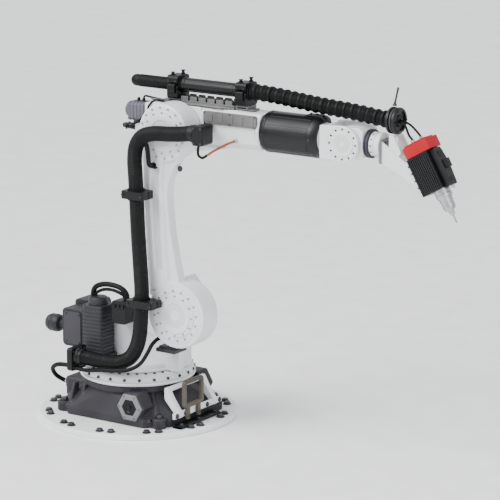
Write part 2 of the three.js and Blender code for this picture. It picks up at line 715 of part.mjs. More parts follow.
function spindleBody() {
  const { back, front, halfWidth, capLow, bodyLow } = SPINDLE;
  const high = capLow - GAP;
  const block = slabXY(cutRectangle(back, front, -halfWidth, halfWidth, 14), bodyLow, high);
  const low = bodyLow - 1;
  const grooveTop = high - 24;
  const backGrooves = [-36, -12, 12, 36].map((y) => box([back - 1, y - 4, low], [back + 7, y + 4, grooveTop]));
  const sideGrooves = [-60, -36, -12, 12, 36].flatMap((x) => [
    box([x - 5, -halfWidth - 1, low], [x + 5, 7 - halfWidth, grooveTop]),
    box([x - 5, halfWidth - 7, low], [x + 5, halfWidth + 1, grooveTop]),
  ]);
  const bore = rod([0, 0, low], [0, 0, capLow - 30], TOOL.bore, TOOL.bore, 16);
  return tilted(cut(block, ...backGrooves, ...sideGrooves, bore));
}

function spindleSideBox() {
  const left = SPINDLE.front + GAP;
  return tilted(join(
    slabXZ([
      [left, -250], [left + 34, -250], [left + 40, -170], [left + 40, -110], [left + 30, -40], [left, -40],
    ], -34, 34),
    slabXZ(cutRectangle(left + 20, left + 58, -160, -112, 10), -24, 24),
    rod([left + 22, 0, -268], [left + 22, 0, -249], 10, 10, 10),
  ));
}

function spindleNose() {
  const high = SPINDLE.bodyLow - GAP;
  return tilted(turned([
    [TOOL.bore, SPINDLE.noseLow], [27, SPINDLE.noseLow], [33, SPINDLE.noseLow + 14], [36, high - 60],
    [45, high - 40], [45, high], [TOOL.bore, high],
  ], 24));
}

function spindleShaft() {
  const r = TOOL.bore - 3;
  return tilted(turned([
    [0, -436], [3, -436], [5, -430], [5, -392], [13, -388], [16, -372], [r, -360], [r, -72], [0, -72],
  ], 16));
}

// ---------------------------------------------------------------- hose stretches
function mainHose(first, last, steps) {
  const end = last === MAIN_HOSE.length - 1 ? last : last - HOSE_SPLIT.gap;
  return hose(MAIN_HOSE, HOSE.radius, HOSE.sides, steps, first, end);
}

function toolHose(first, last, steps) {
  const end = last === TOOL_HOSE.length - 1 ? last : last - TOOL_HOSE_SPLIT.gap;
  return hose(TOOL_HOSE, WRIST_HOSE.radius, WRIST_HOSE.sides, steps, first, end);
}

// ---------------------------------------------------------------- assembly
function body(...pieces) {
  const group = new THREE.Group();
  group.add(...pieces);
  return group;
}

const thin = { radius: 13, sides: 8 };

const base = body(
  piece('mounting_plate', 'platePaint', mountingPlate()),
  piece('base_frame', 'darkPaint', baseFrame()),
  piece('base_side_cover', 'whitePaint', sideCover()),
  piece('connector_panel', 'bracketGrey', connectorPanel()),
  piece('base_cable', 'blackRubber', hose(BASE_CABLE, thin.radius, thin.sides, 12)),
  piece('front_plate', 'whitePaint', frontPlate()),
  piece('fork_loop', 'brownSteel', forkLoop()),
  piece('a1_gear_unit', 'steel', firstAxisGear()),
);

const column = body(
  piece('turret_ring', 'whitePaint', turretRing()),
  piece('column_casting', 'whitePaint', columnCasting()),
  piece('a1_motor', 'motorGrey', firstAxisMotor()),
  piece('a2_gear_unit', 'steel', secondAxisGear()),
  piece('a2_motor', 'motorGrey', secondAxisMotor()),
  piece('junction_box', 'darkPaint', junctionBox()),
  piece('rear_gland', 'motorGrey', rearGland()),
  piece('cable_block', 'blackPlastic', cableBlock()),
  piece('motor_cable_arch', 'blackRubber', hose(CABLE_ARCH, thin.radius, thin.sides, 16)),
  piece('hose_bracket', 'blackPlastic', hoseBracket()),
  piece('column_hose', 'blackRubber', mainHose(0, HOSE_SPLIT.shoulder, 8)),
  piece('lower_cable', 'blackRubber', hose(LOWER_CABLE, thin.radius, thin.sides, 20)),
  piece('shoulder_hose', 'blackRubber', mainHose(HOSE_SPLIT.shoulder, HOSE_SPLIT.arm, 5)),
);

const linkArm = body(
  piece('link_arm_casting', 'whitePaint', linkArmCasting()),
  piece('a2_hub_cover', 'whitePaint', hubCover(SHOULDER.x, SHOULDER.z, 142)),
  piece('a3_hub_cover', 'whitePaint', hubCover(ELBOW.x, ELBOW.z, 120)),
  piece('hose_clamp_low', 'blackPlastic', strapClamp(247, 737, 20, 106, 2)),
  piece('hose_clamp_mid', 'blackPlastic', strapClamp(220, 1340, 22, 80, 0)),
  piece('arm_hose', 'blackRubber', mainHose(HOSE_SPLIT.arm, HOSE_SPLIT.elbow, 8)),
  piece('elbow_hose', 'blackRubber', mainHose(HOSE_SPLIT.elbow, MAIN_HOSE.length - 1, 14)),
);

const forearm = body(
  piece('forearm_casting', 'whitePaint', forearmCasting()),
  piece('a3_gear_unit', 'steel', thirdAxisGear()),
  piece('a3_motor', 'motorGrey', thirdAxisMotor()),
  ...Object.entries(WRIST_MOTORS).map(([name, place]) => piece(name, 'motorGrey', wristMotor(place))),
  piece('drive_shafts', 'steel', driveShafts()),
  piece('side_hose_clamp', 'blackPlastic', sideHoseClamp()),
  piece('signal_cable', 'brownCable', hose(SIGNAL_CABLE, 9, thin.sides, 18)),
  piece('retractor_rail', 'bracketGrey', retractorRail()),
  piece('retractor_clamp_rear', 'blackPlastic', retractorClamp(RETRACTOR.clampRear)),
  piece('retractor_clamp_front', 'blackPlastic', retractorClamp(RETRACTOR.clampFront)),
  piece('retractor_tube', 'blackPlastic', retractorTube()),
  piece('retractor_rear_cap', 'blackPlastic', retractorRearCap()),
  piece('wrist_hose_a4', 'blackRubber', toolHose(0, TOOL_HOSE_SPLIT.wrist, 8)),
);

const wrist = body(
  piece('wrist_housing', 'whitePaint', wristHousing()),
  piece('wrist_sleeve', 'blackPlastic', wristSleeve()),
  piece('sleeve_hood', 'blackPlastic', sleeveHood()),
  piece('wrist_hose_a5', 'blackRubber', toolHose(TOOL_HOSE_SPLIT.wrist, TOOL_HOSE_SPLIT.hand, 5)),
);

const hand = body(
  piece('hand_housing', 'whitePaint', handHousing()),
  piece('flange_seal_ring', 'darkPaint', flangeSealRing()),
  piece('wrist_hose_a6', 'blackRubber', toolHose(TOOL_HOSE_SPLIT.hand, TOOL_HOSE.length - 1, 5)),
);

const tool = body(
  piece('tool_flange', 'whitePaint', toolFlange()),
  piece('tool_bracket', 'whitePaint', toolBracket()),
  piece('hose_support', 'steel', hoseSupport()),
  piece('hose_collar', 'blackPlastic', hoseCollar()),
  piece('status_rod', 'bracketGrey', statusRod()),
  piece('spindle_cap', 'redPaint', spindleCap()),
  piece('spindle_body', 'darkPaint', spindleBody()),
  piece('spindle_side_box', 'bracketGrey', spindleSideBox()),
  piece('spindle_nose', 'steel', spindleNose()),
  piece('spindle_shaft', 'steel', spindleShaft()),
);

const group = new THREE.Group();
group.add(base, column, linkArm, forearm, wrist, hand, tool);

export default group;
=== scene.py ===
"""Looks of a six-axis robot arm with a hose dress pack and a spindle tool, on a round mounting plate.

Everything is in metres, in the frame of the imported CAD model: +X is forward, +Y is the robot's left and
+Z is up.
"""
import json
import math

import bmesh
import bpy
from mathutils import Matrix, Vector


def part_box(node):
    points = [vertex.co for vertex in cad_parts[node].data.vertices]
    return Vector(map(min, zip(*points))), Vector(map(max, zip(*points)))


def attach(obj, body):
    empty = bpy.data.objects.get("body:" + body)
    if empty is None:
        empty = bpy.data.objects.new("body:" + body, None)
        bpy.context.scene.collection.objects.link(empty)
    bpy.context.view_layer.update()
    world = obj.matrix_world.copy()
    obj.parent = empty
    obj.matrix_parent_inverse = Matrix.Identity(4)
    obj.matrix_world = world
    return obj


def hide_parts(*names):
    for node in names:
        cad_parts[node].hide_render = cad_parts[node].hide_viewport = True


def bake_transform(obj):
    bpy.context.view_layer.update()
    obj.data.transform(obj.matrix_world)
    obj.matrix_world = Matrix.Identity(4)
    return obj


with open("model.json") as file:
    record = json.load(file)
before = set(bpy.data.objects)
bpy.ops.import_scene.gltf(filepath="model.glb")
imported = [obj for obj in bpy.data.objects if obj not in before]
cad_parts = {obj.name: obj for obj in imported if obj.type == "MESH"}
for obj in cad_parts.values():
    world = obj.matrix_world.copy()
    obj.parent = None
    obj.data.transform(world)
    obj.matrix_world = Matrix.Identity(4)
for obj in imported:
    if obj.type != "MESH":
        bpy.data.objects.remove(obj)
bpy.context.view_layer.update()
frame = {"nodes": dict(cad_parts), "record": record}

X, Y, Z = Vector((1, 0, 0)), Vector((0, 1, 0)), Vector((0, 0, 1))
AXIS = {joint["name"]: Vector(joint["pos_m"]) for joint in frame["record"]["behaviour"]["joints"]}
SPINDLE_DOWN = Vector((0.5, 0, -math.sqrt(0.75)))
SPINDLE_FRONT = SPINDLE_DOWN.cross(Y)
EDGE_ANGLE = 32.0
HOSE_RADIUS = 0.042
WRIST_HOSE_RADIUS = 0.04
SOCKET_Z = 0.132
BUMP_DEPTH = 0.001
LENS_MM, SENSOR_MM = 198.7, 36.0
CAMERA_AT = Vector((8.904, -12.103, 4.41))
CAMERA_AIM = Vector((0.8276, -0.1, 1.0686))


def low(node):
    return Vector(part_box(node)[0])


def high(node):
    return Vector(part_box(node)[1])


def corners(node):
    return low(node), high(node)


def middle(node):
    return (low(node) + high(node)) / 2


def vec(x, y, z):
    return Vector((x, y, z))


def on_axis(joint, y):
    """The point of a joint's axis at a given y."""
    return vec(AXIS[joint].x, y, AXIS[joint].z)


def grid(xs, ys, zs):
    return [vec(x, y, z) for x in xs for y in ys for z in zs]


def spokes(count, start=0.0, u=Y, v=Z):
    """Unit vectors at even turns in the plane of u and v."""
    turns = [math.tau * (n + start) / count for n in range(count)]
    return [u * math.cos(turn) + v * math.sin(turn) for turn in turns]


def material(name, colour, roughness, metallic=0.0, spread=0.12, wear=None, grain=0.1, grain_scale=220.0,
             stretch=None, shine=0.5):
    """A finish with cloudy colour, uneven gloss and a fine bump.

    Where wear is given, it also has rubbed edges in the wear colour, and painted shade that darkens hollows
    and creases.
    """
    made = bpy.data.materials.new(name)
    made.use_nodes = True
    nodes, links = made.node_tree.nodes, made.node_tree.links
    shader = nodes["Principled BSDF"]
    shader.inputs["Metallic"].default_value = metallic
    shader.inputs["Specular IOR Level"].default_value = shine
    place = nodes.new("ShaderNodeTexCoord")
    mapping = nodes.new("ShaderNodeMapping")
    mapping.inputs["Scale"].default_value = stretch or (1, 1, 1)
    links.new(place.outputs["Object"], mapping.inputs["Vector"])

    def noise(scale, detail):
        texture = nodes.new("ShaderNodeTexNoise")
        texture.inputs["Scale"].default_value = scale
        texture.inputs["Detail"].default_value = detail
        links.new(mapping.outputs["Vector"], texture.inputs["Vector"])
        return texture.outputs["Fac"]

    def ramp(value, from_low, from_high, to_low, to_high):
        ranged = nodes.new("ShaderNodeMapRange")
        for socket, number in (("From Min", from_low), ("From Max", from_high), ("To Min", to_low),
                               ("To Max", to_high)):
            ranged.inputs[socket].default_value = number
        links.new(value, ranged.inputs["Value"])
        return ranged.outputs["Result"]

    def mix(factor, first, second):
        mixer = nodes.new("ShaderNodeMix")
        mixer.data_type = "RGBA"
        links.new(factor, mixer.inputs["Factor"])
        for socket, value in (("A", first), ("B", second)):
            target = [s for s in mixer.inputs if s.name == socket and s.type == "RGBA"][0]
            if isinstance(value, tuple):
                target.default_value = (*value, 1)
            else:
                links.new(value, target)
        return [s for s in mixer.outputs if s.type == "RGBA"][0]

    shade = tuple(max(0.0, c * (1 - spread)) for c in colour)
    tint = tuple(min(1.0, c * (1 + spread * 0.7)) for c in colour)
    cloud_scale, speckle_scale = 5.0, 90.0
    clouds = noise(cloud_scale, 4.0)
    result = mix(ramp(clouds, 0.35, 0.65, 0, 1), shade, tint)
    speckle = noise(speckle_scale, 3.0)
    result = mix(ramp(speckle, 0.62, 0.78, 0, 0.35), result, shade)
    if wear:
        shape = nodes.new("ShaderNodeNewGeometry").outputs["Pointiness"]
        # painted shade: low pointiness (hollows, creases, corners between parts) darkens the paint towards
        # 0.55 of its colour
        result = mix(ramp(shape, 0.5, 0.44, 0, 0.55), result, tuple(c * 0.55 for c in colour))
        result = mix(ramp(shape, 0.53, 0.6, 0, 0.5), result, wear)
    links.new(result, shader.inputs["Base Color"])
    links.new(ramp(clouds, 0.3, 0.7, roughness - 0.07, roughness + 0.1), shader.inputs["Roughness"])
    bump = nodes.new("ShaderNodeBump")
    bump.inputs["Strength"].default_value = grain
    bump.inputs["Distance"].default_value = BUMP_DEPTH
    links.new(noise(grain_scale, 4.0), bump.inputs["Height"])
    links.new(bump.outputs["Normal"], shader.inputs["Normal"])
    return made


WHITE = material("white_paint", (0.72, 0.73, 0.74), 0.42, spread=0.06, wear=(0.84, 0.84, 0.84), grain=0.16)
PLATE_WHITE = material("plate_paint", (0.84, 0.85, 0.85), 0.45, spread=0.07, grain=0.2)
COVER = material("cover_paint", (0.17, 0.17, 0.175), 0.45, spread=0.15, grain=0.2, shine=0.35)
DARK = material("dark_paint", (0.026, 0.024, 0.03), 0.5, spread=0.25, wear=(0.1, 0.097, 0.11), grain=0.25,
                shine=0.3)
MOTOR = material("motor_paint", (0.018, 0.0175, 0.022), 0.45, spread=0.25, wear=(0.065, 0.064, 0.076),
                 grain=0.2, shine=0.3)
SERVO = material("servo_paint", (0.085, 0.082, 0.102), 0.45, spread=0.2, wear=(0.2, 0.2, 0.23), grain=0.2,
                 shine=0.3)
PLASTIC = material("black_plastic", (0.0045, 0.0045, 0.005), 0.38, spread=0.35, grain=0.15, shine=0.25)
GLOSS = material("black_sleeve", (0.0045, 0.0045, 0.005), 0.34, spread=0.3, grain=0.12, grain_scale=150,
                 shine=0.32)
RUBBER = material("black_rubber", (0.0032, 0.0032, 0.0036), 0.48, spread=0.4, grain=0.3, shine=0.18)
SEAL = material("seal_rubber", (0.03, 0.03, 0.045), 0.5, spread=0.25, grain=0.2, shine=0.3)
STEEL = material("steel", (0.46, 0.46, 0.47), 0.32, metallic=1.0, spread=0.12, grain=0.12, stretch=(1, 1, 14))
SCREW = material("screw_steel", (0.07, 0.07, 0.075), 0.42, metallic=0.85, spread=0.3, grain=0.1)
ZINC = material("zinc_screw", (0.36, 0.36, 0.37), 0.4, metallic=0.6, spread=0.2, grain=0.1)
BRACKET = material("bracket_grey", (0.155, 0.152, 0.15), 0.45, metallic=0.25, spread=0.25, grain=0.2,
                   shine=0.4)
BROWN = material("brown_steel", (0.105, 0.088, 0.072), 0.5, metallic=0.3, spread=0.3, grain=0.3, shine=0.3)
RED = material("red_cap", (0.38, 0.003, 0.008), 0.36, spread=0.15, grain=0.1, shine=0.25)
COPPER = material("brown_cable", (0.3, 0.085, 0.03), 0.45, spread=0.25, grain=0.15, shine=0.3)
CHARCOAL = material("spindle_body", (0.016, 0.016, 0.018), 0.42, metallic=0.2, spread=0.25, grain=0.15,
                    shine=0.3)
FLOOR = material("floor", (0.9, 0.9, 0.9), 0.6, spread=0.03, grain=0.1, grain_scale=60, shine=0.2)


# ---------------------------------------------------------------- mesh tools
def across(axis):
    """Two unit vectors at right angles to axis and to each other."""
    first = axis.cross(Z if abs(axis.z) < 0.9 else X).normalized()
    return first, axis.cross(first).normalized()


def circle(radius, count, start=0.0):
    return [(radius * math.cos(start + math.tau * i / count), radius * math.sin(start + math.tau * i / count))
            for i in range(count)]


def rounded(width, height, radius, steps=5):
    """A rectangle about the origin with round corners."""
    outline = []
    for turn, (sx, sy) in enumerate(((1, 1), (-1, 1), (-1, -1), (1, -1))):
        for step in range(steps + 1):
            angle = math.pi / 2 * (turn + step / steps)
            outline.append((sx * (width / 2 - radius) + radius * math.cos(angle),
                            sy * (height / 2 - radius) + radius * math.sin(angle)))
    return outline


def rectangle(wide, tall, corner):
    """A rectangle about the origin, with round corners where corner is not 0."""
    if corner:
        return rounded(wide, tall, corner)
    return [(-wide / 2, -tall / 2), (wide / 2, -tall / 2), (wide / 2, tall / 2), (-wide / 2, tall / 2)]


def lathe(bm, profile, origin, axis, sides=48, start=0.0):
    """Turns (radius, distance along axis) points into a closed solid; a radius of 0 closes the end."""
    origin = Vector(origin)
    u, v = across(axis)
    rings = []
    for radius, along in profile:
        if radius == 0:
            rings.append([bm.verts.new(origin + axis * along)])
        else:
            rings.append([bm.verts.new(origin + axis * along + u * a + v * b) for a,
                          b in circle(radius, sides, start)])
    if profile[0][0] and profile[-1][0]:
        rings.append(rings[0])
    faces = []
    for one, two in zip(rings, rings[1:]):
        for i in range(sides):
            k = (i + 1) % sides
            if len(one) == 1:
                faces.append(bm.faces.new((one[0], two[i], two[k])))
            elif len(two) == 1:
                faces.append(bm.faces.new((one[i], two[0], one[k])))
            else:
                faces.append(bm.faces.new((one[i], two[i], two[k], one[k])))
    return faces


def spun(bm, profile, origin, axis, sides=48):
    """A lathe whose profile is closed at both ends with flat discs."""
    lathe(bm, [(0, profile[0][1]), *profile, (0, profile[-1][1])], origin, axis, sides)


def prism(bm, outline, origin, u, v, near, far):
    """Extrudes a flat outline in the plane of u and v, from near to far along their normal."""
    origin = Vector(origin)
    n = u.cross(v)
    ends = [[bm.verts.new(origin + u * a + v * b + n * depth) for a, b in outline] for depth in (near, far)]
    bm.faces.new(list(reversed(ends[0])))
    bm.faces.new(ends[1])
    for i in range(len(outline)):
        k = (i + 1) % len(outline)
        bm.faces.new((ends[0][i], ends[0][k], ends[1][k], ends[1][i]))


def block(bm, lowest, highest, corner=0.0, along=Z):
    """A box between two corners, with its edges along one axis rounded."""
    lowest, highest = Vector(lowest), Vector(highest)
    size, centre = highest - lowest, (lowest + highest) / 2
    u, v = {0: (Y, Z), 1: (Z, X), 2: (X, Y)}[[abs(c) > 0.5 for c in along].index(True)]
    wide, tall, deep = abs(size.dot(u)), abs(size.dot(v)), abs(size.dot(along))
    prism(bm, rectangle(wide, tall, corner), centre, u, v, -deep / 2, deep / 2)


def smooth_path(points, spacing, first=0.0, last=None):
    """Points at an even spacing along a centripetal spline, between two numbered points of the route."""
    pts = [Vector(p) for p in points]
    pts = [pts[0] * 2 - pts[1]] + pts + [pts[-1] * 2 - pts[-2]]
    last = len(points) - 1 if last is None else last
    steps = 60
    dense = []
    for n in range(int(steps * (last - first)) + 1):
        position = min(first + n / steps, len(points) - 1.000001)
        i = int(position)
        p0, p1, p2, p3 = pts[i:i + 4]
        t1 = (p1 - p0).length ** 0.5
        t2 = t1 + (p2 - p1).length ** 0.5
        t3 = t2 + (p3 - p2).length ** 0.5
        t = t1 + (t2 - t1) * (position - i)
        a1 = p0 * ((t1 - t) / t1) + p1 * (t / t1)
        a2 = p1 * ((t2 - t) / (t2 - t1)) + p2 * ((t - t1) / (t2 - t1))
        a3 = p2 * ((t3 - t) / (t3 - t2)) + p3 * ((t - t2) / (t3 - t2))
        b1 = a1 * ((t2 - t) / t2) + a2 * (t / t2)
        b2 = a2 * ((t3 - t) / (t3 - t1)) + a3 * ((t - t1) / (t3 - t1))
        dense.append(b1 * ((t2 - t) / (t2 - t1)) + b2 * ((t - t1) / (t2 - t1)))
    lengths = [0.0]
    for one, two in zip(dense, dense[1:]):
        lengths.append(lengths[-1] + (two - one).length)
    count = max(2, round(lengths[-1] / spacing))
    even, j = [], 0
    for n in range(count + 1):
        wanted = lengths[-1] * n / count
        while j < len(lengths) - 2 and lengths[j + 1] < wanted:
            j += 1
        span = lengths[j + 1] - lengths[j] or 1.0
        even.append(dense[j].lerp(dense[j + 1], (wanted - lengths[j]) / span))
    return even


def sweep(bm, path, radius, sides=20):
    """A tube along a path; radius is a number or a function of the distance along it."""
    size = radius if callable(radius) else lambda distance: radius
    tangent = (path[1] - path[0]).normalized()
    u = across(tangent)[0]
    rings, distance = [], 0.0
    for n, point in enumerate(path):
        ahead = path[min(n + 1, len(path) - 1)] - path[max(n - 1, 0)]
        turned = tangent.rotation_difference(ahead.normalized())
        tangent = ahead.normalized()
        u = (turned @ u).normalized()
        v = tangent.cross(u)
        distance += (point - path[n - 1]).length if n else 0.0
        rings.append([bm.verts.new(point + u * a + v * b) for a, b in circle(size(distance), sides)])
    for one, two in zip(rings, rings[1:]):
        for i in range(sides):
            k = (i + 1) % sides
            bm.faces.new((one[i], one[k], two[k], two[i]))
    bm.faces.new(list(reversed(rings[0])))
    bm.faces.new(rings[-1])


def screw(bm, at, out, radius, height, sides=18):
    """A socket head screw that stands on a face."""
    well = radius * 0.5
    profile = [(0, -0.002), (radius, -0.002), (radius, height * 0.85), (radius * 0.9, height), (well, height),
               (well, height * 0.4), (0, height * 0.4)]
    lathe(bm, profile, at, out, sides)


def hex_bolt(bm, at, out, radius, height):
    """A hexagon head on a washer."""
    spun(bm, [(radius * 1.3, -0.002), (radius * 1.3, height * 0.25)], at, out, 20)
    spun(bm, [(radius, 0), (radius, height * 0.85), (radius * 0.86, height)], at, out, 6)


def around(centre, out, radius, count, start=0.0):
    """Points on a circle about a line."""
    u, v = across(out)
    return [centre + u * a + v * b for a, b in circle(radius, count, start)]


def new_object(name, bm):
    """Links a new object that takes over a bmesh."""
    mesh = bpy.data.meshes.new(name)
    bm.to_mesh(mesh)
    bm.free()
    made = bpy.data.objects.new(name, mesh)
    bpy.context.scene.collection.objects.link(made)
    return made


def outward_object(name, bm):
    """A new object with all its faces turned outwards."""
    bmesh.ops.recalc_face_normals(bm, faces=bm.faces[:])
    return new_object(name, bm)


def paint(piece, finish):
    piece.data.materials.clear()
    piece.data.materials.append(finish)


def smooth(piece):
    piece.data.polygons.foreach_set("use_smooth", [True] * len(piece.data.polygons))


def rounding(piece, width, segments=2, angle=EDGE_ANGLE):
    edges = piece.modifiers.new("edges", "BEVEL")
    edges.width = width
    edges.segments = segments
    edges.limit_method = "ANGLE"
    edges.angle_limit = math.radians(angle)
    edges.harden_normals = True


def finished(name, bm, finish, body, bevel=0.0, angle=EDGE_ANGLE, replaces=(), segments=2):
    """Turns a bmesh into a smooth-shaded piece that rides on a body."""
    piece = outward_object(name, bm)
    paint(piece, finish)
    smooth(piece)
    piece.data.set_sharp_from_angle(angle=math.radians(angle))
    if bevel:
        rounding(piece, bevel, segments, angle)
    adopt(piece, body, replaces)
    return piece


def simple(name, finish, body, tool, *values, **options):
    """A finished piece that takes one call of one mesh tool."""
    bm = bmesh.new()
    tool(bm, *values)
    return finished(name, bm, finish, body, **options)


def adopt(piece, body, replaces=()):
    """Says which body a piece rides on and which CAD pieces it stands for."""
    if isinstance(body, str):
        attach(piece, body)
    if replaces:
        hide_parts(*replaces)


def screws_at(name, finish, body, points, out, radius, height):
    """One piece with equal screws at a list of points."""
    bm = bmesh.new()
    for at in points:
        screw(bm, at, out, radius, height)
    finished(name, bm, finish, body)


def apply_modifiers(piece):
    evaluated = piece.evaluated_get(bpy.context.evaluated_depsgraph_get())
    mesh = bpy.data.meshes.new_from_object(evaluated)
    piece.modifiers.clear()
    piece.data = mesh


def cut_away(piece, cutter_bm, solver, use_self=False):
    cutter = outward_object("cutter", cutter_bm)
    cut = piece.modifiers.new("cut", "BOOLEAN")
    cut.operation = "DIFFERENCE"
    cut.solver = solver
    cut.use_self = use_self
    cut.object = cutter
    apply_modifiers(piece)
    bpy.data.objects.remove(cutter)


def remesh(piece, voxel):
    modifier = piece.modifiers.new("remesh", "REMESH")
    modifier.mode = "VOXEL"
    modifier.voxel_size = voxel * 1
    apply_modifiers(piece)


def casting(name, node, finish, body, extra=None, pockets=None, voxel=0.0045, rounds=7, keep=0.5):
    """A cast copy of a CAD node: details are added and pockets cut, and then all edges are softened."""
    bm = bmesh.new()
    bm.from_mesh(frame["nodes"][node].data)
    if extra:
        extra(bm)
    piece = new_object(name, bm)
    remesh(piece, voxel)
    if pockets:
        cutter_bm = bmesh.new()
        pockets(cutter_bm)
        cut_away(piece, cutter_bm, "FAST")
        remesh(piece, voxel)
    softening = piece.modifiers.new("soften", "SMOOTH")
    softening.factor = 0.5
    softening.iterations = rounds
    thinning = piece.modifiers.new("thin", "DECIMATE")
    thinning.ratio = keep
    apply_modifiers(piece)
    paint(piece, finish)
    smooth(piece)
    adopt(piece, body, (node,))
    return piece


# ---------------------------------------------------------------- base
def floor_plate():
    """The round plate that carries the robot, with pairs of bolts near its rim."""
    highest = high("mounting_plate")
    radius = highest.x
    simple("floor_plate", PLATE_WHITE, "base", spun,
           [(radius - 0.004, 0.0002), (radius, 0.004), (radius, highest.z - 0.004),
            (radius - 0.004, highest.z)], Vector(), Z, 160, replaces=("mounting_plate",))
    bolts = bmesh.new()
    pairs, hole_circle, pair_angle = 12, 0.505, math.radians(3.8)
    for n in range(pairs):
        for side in (-1, 1):
            angle = math.tau * (n + 0.5) / pairs + side * pair_angle
            at = vec(hole_circle * math.cos(angle), hole_circle * math.sin(angle), highest.z)
            hex_bolt(bolts, at, Z, 0.0185, 0.017)
    finished("floor_bolts", bolts, SCREW, "base", bevel=0.001)


def base_details(bm):
    """Corner bosses and ribs of the base."""
    foot = low("base_frame")
    front, side = high("base_frame").x, 0.33
    for sx, reach in ((-1, -foot.x), (1, front)):
        for sy in (-1, 1):
            corner = vec(sx * (reach - 0.062), sy * (side - 0.062), foot.z)
            spun(bm, [(0.04, 0), (0.04, 0.056)], corner, Z, 24)
            direction = -corner.xy.normalized().to_3d()
            start = corner + vec(0, 0, 0.03)
            prism(bm, [(0.02, 0), (0.24, 0), (0.24, 0.15), (0.12, 0.13), (0.02, 0.03)], start, direction, Z,
                  -0.009, 0.009)
    for y in (-0.2, -0.02):
        prism(bm, [(0, 0), (0.1, 0), (0.1, 0.15), (0.06, 0.15)], (-0.17 + y * 0.4, -0.33, 0.05), Y, Z, -0.009,
              0.009)


def base():
    """The base casting and its foot bolts."""
    casting("base_casting", "base_frame", DARK, "base", base_details, voxel=0.005, rounds=6)
    bolts = bmesh.new()
    inset, corner_top, edge_top = 0.062, 0.0855, 0.0715
    lowest, highest = corners("base_frame")
    for at in grid((lowest.x + inset, highest.x - inset), (-0.268, 0.268), (corner_top,)):
        hex_bolt(bolts, at, Z, 0.019, 0.02)
    for at in grid((-0.26, -0.13, 0.02, 0.3), (-0.312, 0.312), (edge_top,)):
        hex_bolt(bolts, at, Z, 0.013, 0.013)
    finished("base_bolts", bolts, SCREW, "base")


def hexagon_cover(name, side, replaces=()):
    """The hexagonal ring round a black plug, on one side of the base."""
    lowest, highest = corners("base_side_cover")
    centre = middle("base_side_cover")
    radius = (highest.x - lowest.x) / 2
    depth = highest.y - lowest.y
    centre.y = side * -highest.y
    out = vec(0, side, 0)
    simple(name, COVER, "base", lathe,
           [(0.05, 0.0003), (radius - 0.001, 0.0003), (radius - 0.001, depth * 0.55),
            (radius - 0.006, depth * 0.8), (0.058, depth * 0.98), (0.05, depth * 0.98)], centre, out, 6,
           bevel=0.0025, replaces=replaces)
    plug = bmesh.new()
    spun(plug, [(0.048, 0.0003), (0.048, depth * 0.55), (0.04, depth * 0.72), (0.03, depth * 0.72),
                (0.026, depth * 0.45)], centre, out, 40)
    spun(plug, [(0.012, depth * 0.4), (0.012, depth * 0.85), (0.009, depth * 0.95)], centre, out, 6)
    finished(name + "_plug", plug, PLASTIC, "base")
    screws_at(name + "_screws", SCREW, "base", around(centre + out * depth * 0.72, out, 0.067, 6), out,
              0.0055, 0.003)


def connector(bm, at, out, wide, tall, deep):
    """A heavy-duty rectangular plug with its hood and side levers, standing out from a panel."""
    u = Y if abs(out.x) > 0.5 else X
    v = out.cross(u)
    prism(bm, rounded(wide, tall, 0.008), at, u, v, *sorted((0.0, deep * 0.35)))
    prism(bm, rounded(wide * 0.9, tall * 0.86, 0.008), at, u, v, *sorted((deep * 0.34, deep)))
    for side in (-1, 1):
        prism(bm, rounded(0.007, tall * 0.6, 0.003), at + u * side * (wide / 2 + 0.003), u, v, deep * 0.12,
              deep * 0.6)


def connector_plate():
    """The panel at the back of the base, with its plugs and the gland of the supply cable."""
    lowest, highest = corners("connector_panel")
    face = highest.x - 0.0155
    simple("connector_plate", MOTOR, "base", block, (face, lowest.y, lowest.z), highest, 0.014, X,
           bevel=0.002, replaces=("connector_panel",))
    plugs = bmesh.new()
    connector(plugs, vec(face, -0.07, SOCKET_Z), -X, 0.074, 0.062, 0.04)
    connector(plugs, vec(face, 0.045, SOCKET_Z), -X, 0.048, 0.052, 0.034)
    spun(plugs, [(0.021, 0), (0.021, 0.012), (0.017, 0.014), (0.017, 0.03), (0.014, 0.034)],
         (face, 0.105, SOCKET_Z), -X, 24)
    finished("connector_plugs", plugs, PLASTIC, "base", bevel=0.0015)
    simple("base_cable_gland", STEEL, "base", spun,
           [(0.016, 0), (0.016, 0.008), (0.013, 0.01), (0.0125, 0.024)], (lowest.x + 0.0065, -0.07, SOCKET_Z),
           -X, 12)
    points = grid((face,), (lowest.y + 0.012, highest.y - 0.012), (lowest.z + 0.012, highest.z - 0.012))
    screws_at("connector_screws", SCREW, "base", points, -X, 0.006, 0.004)


BASE_CABLE = [
    (-0.443, -0.07, SOCKET_Z), (-0.468, -0.07, SOCKET_Z), (-0.503, -0.11, 0.17), (-0.5, -0.14, 0.215),
    (-0.455, -0.158, 0.247), (-0.385, -0.16, 0.256), (-0.336, -0.15, 0.251),
]


def cable(name, route, radius, finish, body, replaces=(), spacing=0.012, stretch=(0, None)):
    bm = bmesh.new()
    sweep(bm, smooth_path(route, spacing, *stretch), radius, 16)
    return finished(name, bm, finish, body, replaces=replaces)


